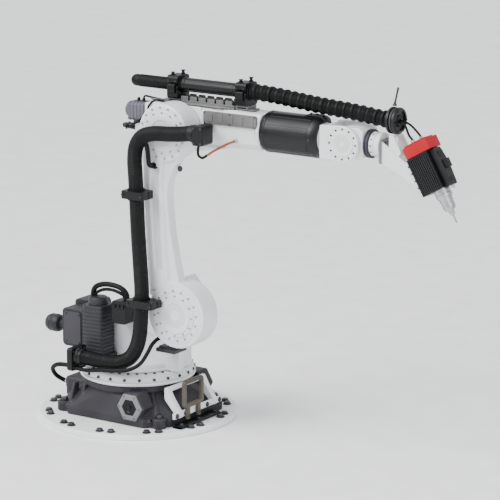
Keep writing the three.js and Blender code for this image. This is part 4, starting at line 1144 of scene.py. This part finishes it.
def wrist_motors():
    """The three motors behind the forearm, with their plugs and lines."""
    motor("a4_servo", "a4_motor", -X, "forearm", 0.03, SERVO)
    motor("a5_servo", "a5_motor", -X, "forearm", 0.03)
    motor("a6_servo", "a6_motor", -X, "forearm", 0.03)
    plugs, lines = bmesh.new(), bmesh.new()
    roof = high("forearm_casting").z
    for node, out, reach in (("a4_motor", Z, 0.052), ("a5_motor", -Y, 0.0165), ("a6_motor", Y, 0.0165)):
        centre = middle(node)
        for dx in (-0.014, 0.02):
            round_plug(plugs, centre + vec(dx, 0, 0) + out * reach, out, 0.0095, 0.02)
        start = centre + vec(0.02, 0, 0) + out * (reach + 0.018)
        side = start.y + out.y * 0.012
        if node == "a4_motor":
            route = [start, start + vec(0.004, 0, 0.012), vec(0.078, side, roof + 0.012),
                     vec(0.13, side - 0.012, roof + 0.01), vec(0.24, side - 0.03, roof + 0.0065)]
        else:
            clear = math.copysign(0.1 if side < 0 else 0.132, side)
            route = [start, start + out * 0.012, vec(0.05, clear, 1.672), vec(0.09, clear, 1.7),
                     vec(0.15, clear, 1.745), vec(0.162, clear * 0.99, 1.79),
                     vec(0.19, clear * 0.8, roof + 0.009), vec(0.26, clear * 0.62, roof + 0.0065)]
        sweep(lines, smooth_path([tuple(p) for p in route], 0.01), 0.0055, 12)
    finished("wrist_motor_plugs", plugs, PLASTIC, "forearm")
    finished("wrist_motor_lines", lines, RUBBER, "forearm")


# ---------------------------------------------------------------- wrist
def sleeve():
    """The black sleeve round the wrist tube, with clamp bands at both ends and flat service lids."""
    lowest, highest = corners("wrist_sleeve")
    radius = (highest.z - lowest.z) / 2
    length = highest.x - lowest.x
    inner = 0.086
    profile = [(inner, 0.001), (radius - 0.01, 0.001), (radius - 0.004, 0.004), (radius - 0.0005, 0.011),
               (radius - 0.0005, 0.03), (radius - 0.003, 0.033), (radius - 0.003, length - 0.052),
               (radius - 0.0005, length - 0.049), (radius - 0.0005, length - 0.03),
               (radius - 0.017, length - 0.001), (inner, length - 0.001)]
    bm = bmesh.new()
    lathe(bm, profile, (lowest.x, 0, ARM_Z), X, 96)
    for out in spokes(8, 0.5):
        base_at = vec(lowest.x + 0.04, 0, ARM_Z) + out * (radius - 0.0052)
        prism(bm, rounded(0.034, 0.007, 0.003, 3), base_at, out.cross(X), out, 0.0, length - 0.1)
    finished("wrist_cover", bm, GLOSS, "wrist", replaces=("wrist_sleeve",), angle=30)
    screws = bmesh.new()
    for out in spokes(8):
        for x in (lowest.x + 0.02, highest.x - 0.04):
            screw(screws, vec(x, 0, ARM_Z) + out * (radius - 0.0025), out, 0.0055, 0.0024)
    finished("wrist_cover_screws", screws, SCREW, "wrist")


def hood():
    """A curved flap that hangs over the front edge of the sleeve, where the hose rubs."""
    top = ARM_Z + 0.113
    section = [(1.118, top + 0.0006), (1.214, top + 0.0006), (1.232, top - 0.0075), (1.2465, top - 0.02),
               (1.2525, top - 0.026), (1.2625, top - 0.022), (1.255, top - 0.007), (1.237, top + 0.005),
               (1.206, top + 0.0088), (1.15, top + 0.008)]
    bm = bmesh.new()
    strips = 12
    half = 0.026
    rows = []
    for n in range(strips + 1):
        y = -half + 2 * half * n / strips
        drop = 0.0006 - (0.113 - math.sqrt(0.113 ** 2 - y * y)) * 0.98
        rows.append([bm.verts.new((x, y, z + drop)) for x, z in section])
    for one, two in zip(rows, rows[1:]):
        for i in range(len(section)):
            k = (i + 1) % len(section)
            bm.faces.new((one[i], one[k], two[k], two[i]))
    bm.faces.new(list(reversed(rows[0])))
    bm.faces.new(rows[-1])
    finished("sleeve_flap", bm, GLOSS, "wrist", bevel=0.002, replaces=("sleeve_hood",))
    points = grid((1.15, 1.19), (0,), (top + 0.0084,))
    screws_at("sleeve_flap_screws", SCREW, "wrist", points, Z, 0.006, 0.004)


def wrist():
    """The wrist casting with a lid and a ring of screws on both sides."""
    casting("wrist_body", "wrist_housing", WHITE, "wrist", wrist_details, voxel=0.0032, rounds=6)
    sleeve()
    hood()
    screws = bmesh.new()
    for side in (-1, 1):
        centre = on_axis("a5", side * high("wrist_housing").y)
        for at in around(centre, Y * side, 0.08, 12):
            screw(screws, at, Y * side, 0.005, 0.0045)
    finished("wrist_screws", screws, SCREW, "wrist")
    lids = bmesh.new()
    for side in (-1, 1):
        centre = on_axis("a5", side * high("wrist_housing").y)
        spun(lids, [(0.066, -0.002), (0.066, 0.003), (0.063, 0.005), (0.05, 0.005), (0.047, 0.003),
                    (0.016, 0.003), (0.014, 0.0055)], centre, Y * side, 56)
    finished("wrist_lids", lids, WHITE, "wrist")
    tool_hose("hose_wrist_a5", None, ("wrist_hose_a5",), WRIST_POINT, HAND_POINT,
              ("wrist", "hand", TOOL_HOSE[WRIST_POINT], TOOL_HOSE[HAND_POINT]))


def wrist_details(bm):
    """A raised rim round the fifth axis on both sides."""
    for side in (-1, 1):
        centre = on_axis("a5", side * high("wrist_housing").y)
        lathe(bm, [(0.072, -0.01), (0.088, -0.01), (0.088, 0.0), (0.072, 0.0)], centre, Y * side, 48)


# ---------------------------------------------------------------- hand
def hand():
    """The hand casting, its seal ring and its lid."""
    casting("hand_body", "hand_housing", WHITE, "hand", voxel=0.0032, rounds=6)
    lowest, highest = corners("flange_seal_ring")
    radius = (highest.z - lowest.z) / 2
    deep = highest.x - lowest.x
    simple("flange_seal", SEAL, "hand", lathe,
           [(0.049, 0), (radius - 0.002, 0), (radius, 0.002), (radius, deep * 0.34),
            (radius - 0.004, deep * 0.42), (radius - 0.004, deep * 0.52), (radius, deep * 0.6),
            (radius, deep - 0.003), (radius - 0.003, deep), (0.049, deep)], (lowest.x, 0, ARM_Z), X, 72,
           replaces=("flange_seal_ring",))
    hand_high = high("hand_housing")
    simple("hand_lid", WHITE, "hand", block, (1.43, -0.05, hand_high.z - 0.006),
           (1.475, 0.05, hand_high.z - 0.0005), 0.006, Z, bevel=0.001)
    tool_hose("hose_wrist_a6", None, ("wrist_hose_a6",), HAND_POINT, len(TOOL_HOSE) - 1,
              ("hand", "tool", TOOL_HOSE[HAND_POINT], TOOL_HOSE[-2]))


# ---------------------------------------------------------------- tool
TOOL = AXIS["spindle"]
BACK_UP = -SPINDLE_DOWN


def tool_point(x, y, z):
    """A point in the spindle's own frame: x towards its side box, z back along its axis."""
    return TOOL + SPINDLE_FRONT * x + Y * y + BACK_UP * z


def tool_block(bm, x, y, z, corner=0.0):
    """A box in the spindle's own frame, between pairs of values, with its lengthwise edges rounded."""
    outline = rectangle(x[1] - x[0], y[1] - y[0], corner)
    prism(bm, outline, tool_point(sum(x) / 2, sum(y) / 2, 0), SPINDLE_FRONT, Y, z[0], z[1])


def tool_flange():
    """The white disc on the sixth axis, with screws round its rim."""
    lowest, highest = corners("tool_flange")
    radius, length = (highest.z - lowest.z) / 2, highest.x - lowest.x
    simple("flange_disc", WHITE, "tool", spun,
           [(0.046, 0), (0.046, 0.023), (radius - 0.002, 0.023), (radius, 0.026), (radius, 0.048),
            (radius - 0.003, 0.05), (radius - 0.003, 0.055), (radius, 0.057), (radius, length - 0.002),
            (radius - 0.002, length)], (lowest.x, 0, ARM_Z), X, 64, replaces=("tool_flange",))
    screws = bmesh.new()
    for out in spokes(12):
        screw(screws, vec(lowest.x + 0.037, 0, ARM_Z) + out * (radius - 0.0005), out, 0.0045, 0.003)
    finished("flange_screws", screws, SCREW, "tool")


def bracket():
    """The white bracket between the flange and the spindle: a plate in dark grey as painted shade, two side
    webs and the spindle's pad.
    """
    face = low("tool_bracket").x
    # painted shade: the white plate is painted dark grey for the shade that lies on its face
    simple("adapter_plate_painted_shade", COVER, "tool", block, (face, -0.06, ARM_Z - 0.092),
           (face + 0.012, 0.06, ARM_Z + 0.034), 0.014, X, bevel=0.002, replaces=("tool_bracket",))
    plate = bmesh.new()
    web = [vec(face + 0.01, 0, ARM_Z - 0.084), vec(face + 0.01, 0, ARM_Z + 0.026),
           tool_point(-0.097, 0, -0.044), tool_point(-0.097, 0, -0.19)]
    for y in (-0.043, 0.043):
        prism(plate, [(p.x, p.z) for p in web], (0, y, 0), X, Z, -0.007, 0.007)
    tool_block(plate, (-0.098, -0.0843), (-0.05, 0.05), (-0.215, -0.04), 0.004)
    finished("spindle_bracket", plate, WHITE, "tool", bevel=0.002, replaces=("tool_bracket",))
    screws = bmesh.new()
    for y in (-0.03, 0.03):
        for z in (ARM_Z - 0.07, ARM_Z + 0.014):
            screw(screws, (face + 0.012, y * 0.6, z), X, 0.0065, 0.006)
    for y, out in ((-0.05, -Y), (0.05, Y)):
        for z in (-0.07, -0.11, -0.15, -0.19):
            screw(screws, tool_point(-0.0912, y, z), out, 0.0045, 0.004)
    finished("bracket_screws", screws, SCREW, "tool")
    collar = middle("hose_collar")
    rear, front = collar.x - 0.011, collar.x + 0.011
    ring_radius = 0.067
    bottom = collar.z - 0.07
    simple("hose_holder_ring", MOTOR, "tool", lathe,
           [(0.053, 0), (ring_radius - 0.001, 0), (ring_radius, 0.001), (ring_radius, 0.009),
            (ring_radius - 0.001, 0.01), (0.053, 0.01)], (rear + 0.006, 0, collar.z), X, 64)
    support = bmesh.new()
    neck = [(rear, bottom - 0.008), (front, bottom - 0.008), (front, bottom + 0.004), (rear, bottom + 0.004)]
    prism(support, neck, Vector(), X, Z, -0.034, 0.034)
    arm_side = [(rear, 1.7076), (1.722, 1.6679), (1.732, 1.694), (front + 0.006, bottom - 0.007),
                (rear, bottom - 0.007)]
    for y in (-0.044, 0.044):
        prism(support, arm_side, (0, y, 0), X, Z, -0.006, 0.006)
    prism(support, [(rear, bottom - 0.016), (front + 0.004, bottom - 0.016), (front + 0.004, bottom - 0.006),
                    (rear, bottom - 0.006)], (0.0003, 0, 0), X, Z, -0.0496, 0.0496)
    prism(support, [(1.698, 1.6865), (1.7216, 1.6682), (1.7316, 1.6942), (1.708, 1.712)], Vector(), X, Z,
          -0.0496, 0.0496)
    finished("hose_holder", support, WHITE, "tool", bevel=0.0015, replaces=("hose_support",))


def collar_and_rod():
    """The ring that ends the dress-pack hose, and the signal rod on top of it."""
    lowest, highest = corners("hose_collar")
    centre = middle("hose_collar")
    radius = (highest.z - lowest.z) / 2
    length = highest.x - lowest.x
    gap_low, gap_high = length / 2 - 0.0113, length / 2 + 0.0113
    simple("hose_ring", GLOSS, "tool", lathe,
           [(0.03, 0.0005), (radius - 0.009, 0.0005), (radius, 0.007), (radius, gap_low), (0.051, gap_low),
            (0.051, gap_high), (radius, gap_high), (radius, length - 0.008), (radius - 0.004, length - 0.002),
            (radius - 0.01, length), (0.052, length), (0.05, length - 0.01), (0.034, length - 0.012),
            (0.03, length - 0.012)], (lowest.x, 0, centre.z), X, 64, replaces=("hose_collar",))
    face = bmesh.new()
    spun(face, [(0.033, -0.004), (0.033, 0.003), (0.029, 0.006), (0.012, 0.006), (0.01, 0.002)],
         (highest.x - 0.012, 0, centre.z), X, 40)
    for y, z in circle(0.0595, 6):
        screw(face, (highest.x - 0.0005, y, centre.z + z), X, 0.0042, 0.003)
    finished("hose_ring_face", face, RUBBER, "tool")
    rod_low, rod_high = corners("status_rod")
    rod = bmesh.new()
    start = vec((rod_low.x + rod_high.x) / 2 - 0.01, 0, rod_low.z + 0.0002)
    spun(rod, [(0.0118, 0), (0.0118, 0.006), (0.0095, 0.0095)], start, Z, 24)
    top = vec(rod_high.x - 0.006, 0, rod_high.z - 0.0006)
    foot = start + Z * 0.008
    along = (top - foot).normalized()
    length = (top - foot).length
    spun(rod, [(0.0068, 0), (0.0068, 0.012), (0.0055, 0.016), (0.0052, length - 0.03),
               (0.006, length - 0.026), (0.006, length - 0.003), (0.004, length)], foot, along, 20)
    finished("signal_rod", rod, SCREW, "tool", replaces=("status_rod",))


def drip_hoses():
    """Thin service lines from the dress-pack ring to the spindle's cap."""
    lines = bmesh.new()
    start = high("hose_collar").x - 0.012
    z = middle("hose_collar").z
    for y, end_x, bend in ((-0.014, -0.02, 0.0), (0.012, 0.01, 0.012)):
        end = tool_point(end_x, y * 1.5, 0.0335)
        route = [(start, y, z - 0.004), (start + 0.02, y, z - 0.004),
                 (start + 0.045 + bend, y * 1.2, z - 0.016), tuple(end + BACK_UP * 0.04 + vec(-0.008, 0, 0)),
                 tuple(end + BACK_UP * 0.016), tuple(end)]
        sweep(lines, smooth_path(route, 0.006), 0.0062, 14)
    finished("spindle_lines", lines, RUBBER, "tool")


def spindle():
    """The finned spindle body with its red cap, glands and side unit."""
    cap = bmesh.new()
    tool_block(cap, (-0.08, 0.078), (-0.0615, 0.0615), (-0.0355, 0.026), 0.009)
    tool_block(cap, (-0.07, 0.06), (-0.052, 0.052), (0.025, 0.0338), 0.008)
    finished("spindle_top", cap, RED, "tool", bevel=0.005, segments=3, replaces=("spindle_cap",))
    glands = bmesh.new()
    for x, y in ((-0.02, -0.021), (0.01, 0.018)):
        spun(glands, [(0.012, 0), (0.012, 0.005), (0.01, 0.007), (0.0095, 0.014)], tool_point(x, y, 0.0335),
             BACK_UP, 6)
    finished("spindle_glands", glands, STEEL, "tool")
    core = bmesh.new()
    tool_block(core, (-0.078, 0.046), (-0.055, 0.055), (-0.2445, -0.0365), 0.004)
    for n in range(9):
        x = -0.064 + 0.012 * n
        tool_block(core, (x - 0.0032, x + 0.0032), (-0.0608, 0.0608), (-0.236, -0.048))
    for n in range(8):
        y = -0.042 + 0.012 * n
        tool_block(core, (-0.0835, -0.077), (y - 0.0032, y + 0.0032), (-0.236, -0.048))
    finished("spindle_fins", core, CHARCOAL, "tool", bevel=0.0012, replaces=("spindle_body",))
    posts = bmesh.new()
    for x in ((-0.084, -0.07), (0.04, 0.0518)):
        for y in ((-0.0618, -0.049), (0.049, 0.0618)):
            tool_block(posts, x, y, (-0.2448, -0.0365), 0.003)
    tool_block(posts, (-0.0835, 0.0515), (-0.0615, 0.0615), (-0.2449, -0.234), 0.006)
    tool_block(posts, (-0.0835, 0.0515), (-0.0615, 0.0615), (-0.047, -0.0366), 0.006)
    finished("spindle_posts", posts, PLASTIC, "tool", bevel=0.0015)
    left = 0.0523
    profile = [(left, -0.25), (left + 0.034, -0.25), (left + 0.04, -0.17), (left + 0.04, -0.11),
               (left + 0.03, -0.04), (left, -0.04)]
    simple("spindle_unit", CHARCOAL, "tool", prism, [(z, x) for x, z in reversed(profile)], TOOL, BACK_UP,
           SPINDLE_FRONT, -0.034, 0.034, bevel=0.004, segments=3, replaces=("spindle_side_box",))
    knob = bmesh.new()
    tool_block(knob, (left + 0.036, left + 0.0575), (-0.024, 0.024), (-0.16, -0.112), 0.004)
    tool_block(knob, (left + 0.03, left + 0.0385), (-0.028, 0.028), (-0.098, -0.06), 0.003)
    tool_block(knob, (left + 0.028, left + 0.0372), (-0.026, 0.026), (-0.232, -0.196), 0.003)
    finished("spindle_unit_details", knob, PLASTIC, "tool", bevel=0.002)
    simple("spindle_fitting", STEEL, "tool", spun,
           [(0.01, 0), (0.01, 0.006), (0.0075, 0.008), (0.0075, 0.0175)],
           tool_point(left + 0.022, 0, -0.2495), SPINDLE_DOWN, 20)


SPINDLE_NOSE = [
    (0.0242, 0.2453), (0.045, 0.2453), (0.045, 0.262), (0.0435, 0.264), (0.0435, 0.272), (0.045, 0.274),
    (0.045, 0.284), (0.0365, 0.3), (0.036, 0.316), (0.0342, 0.318), (0.0342, 0.326), (0.0345, 0.346),
    (0.0275, 0.3615), (0.0242, 0.3615),
]


def spindle_end():
    """The stepped nose under the spindle, with its ring of screws."""
    simple("spindle_nose_body", STEEL, "tool", lathe, SPINDLE_NOSE, TOOL, SPINDLE_DOWN, 56,
           replaces=("spindle_nose",))
    points = around(TOOL + SPINDLE_DOWN * 0.2535, SPINDLE_DOWN, 0.04, 8)
    screws_at("spindle_nose_screws", SCREW, "tool", points, SPINDLE_DOWN, 0.004, 0.003)


# ---------------------------------------------------------------- studio
def area_light(name, at, aim, power, size):
    data = bpy.data.lights.new(name, "AREA")
    data.energy = power
    data.size = size
    lamp = bpy.data.objects.new(name, data)
    lamp.location = at
    lamp.rotation_euler = (Vector(aim) - Vector(at)).to_track_quat("-Z", "Y").to_euler()
    bpy.context.scene.collection.objects.link(lamp)


def studio():
    """A pale floor, two area lights, a soft sun and an even sky."""
    bm = bmesh.new()
    side = 40.0
    bm.faces.new([bm.verts.new((a * side, b * side, 0)) for a, b in ((-1, -1), (1, -1), (1, 1), (-1, 1))])
    floor = new_object("floor", bm)
    paint(floor, FLOOR)
    world = bpy.data.worlds.new("studio")
    bpy.context.scene.world = world
    world.use_nodes = True
    world.node_tree.nodes["Background"].inputs["Color"].default_value = (0.95, 0.97, 1.0, 1)
    world.node_tree.nodes["Background"].inputs["Strength"].default_value = 1.05
    centre = (0.7, 0, 1.0)
    area_light("key", (-1.5, -5.5, 6.0), centre, 420, 4.0)
    area_light("fill", (7.0, -3.0, 3.5), centre, 120, 4.0)
    daylight = bpy.data.lights.new("daylight", "SUN")
    daylight.energy = 2.2
    daylight.angle = math.radians(40)
    sky = bpy.data.objects.new("daylight", daylight)
    sky.rotation_euler = (math.radians(28), math.radians(-22), 0)
    bpy.context.scene.collection.objects.link(sky)


def camera():
    """A long lens, far away, that looks at the arm's right side from ahead and a little above."""
    data = bpy.data.cameras.new("camera")
    data.lens = LENS_MM
    data.sensor_width = SENSOR_MM
    data.clip_end = 100.0
    eye = bpy.data.objects.new("camera", data)
    eye.location = CAMERA_AT
    eye.rotation_euler = (CAMERA_AIM - CAMERA_AT).to_track_quat("-Z", "Y").to_euler()
    bpy.context.scene.collection.objects.link(eye)
    bpy.context.scene.camera = eye


# ---------------------------------------------------------------- the whole object
def inner_parts():
    """CAD pieces whose shape is right keep it, and get a finish."""
    for node in ("a1_gear_unit", "a2_gear_unit", "a3_gear_unit", "drive_shafts", "spindle_shaft"):
        paint(frame["nodes"][node], STEEL)


def main():
    camera()
    studio()
    floor_plate()
    base()
    hexagon_cover("side_cover", -1, ("base_side_cover",))
    hexagon_cover("far_cover", 1)
    connector_plate()
    cable("base_line", BASE_CABLE, 0.0128, RUBBER, "base", ("base_cable",))
    front_frame_painted_light()
    fork_bracket()
    turret()
    column()
    motor("a1_servo", "a1_motor", Z, "column", 0.044)
    motor("a2_servo", "a2_motor", Y, "column", 0.03, plug_side=-X)
    junction()
    rear_plug()
    cable_blocks()
    hub_shadow_block()
    column_lines()
    link_arm()
    forearm()
    motor("a3_servo", "a3_motor", Y, "forearm", 0.036, plug_side=-X)
    wrist_motors()
    wrist()
    hand()
    tool_flange()
    bracket()
    collar_and_rod()
    drip_hoses()
    spindle()
    spindle_end()
    inner_parts()


main()
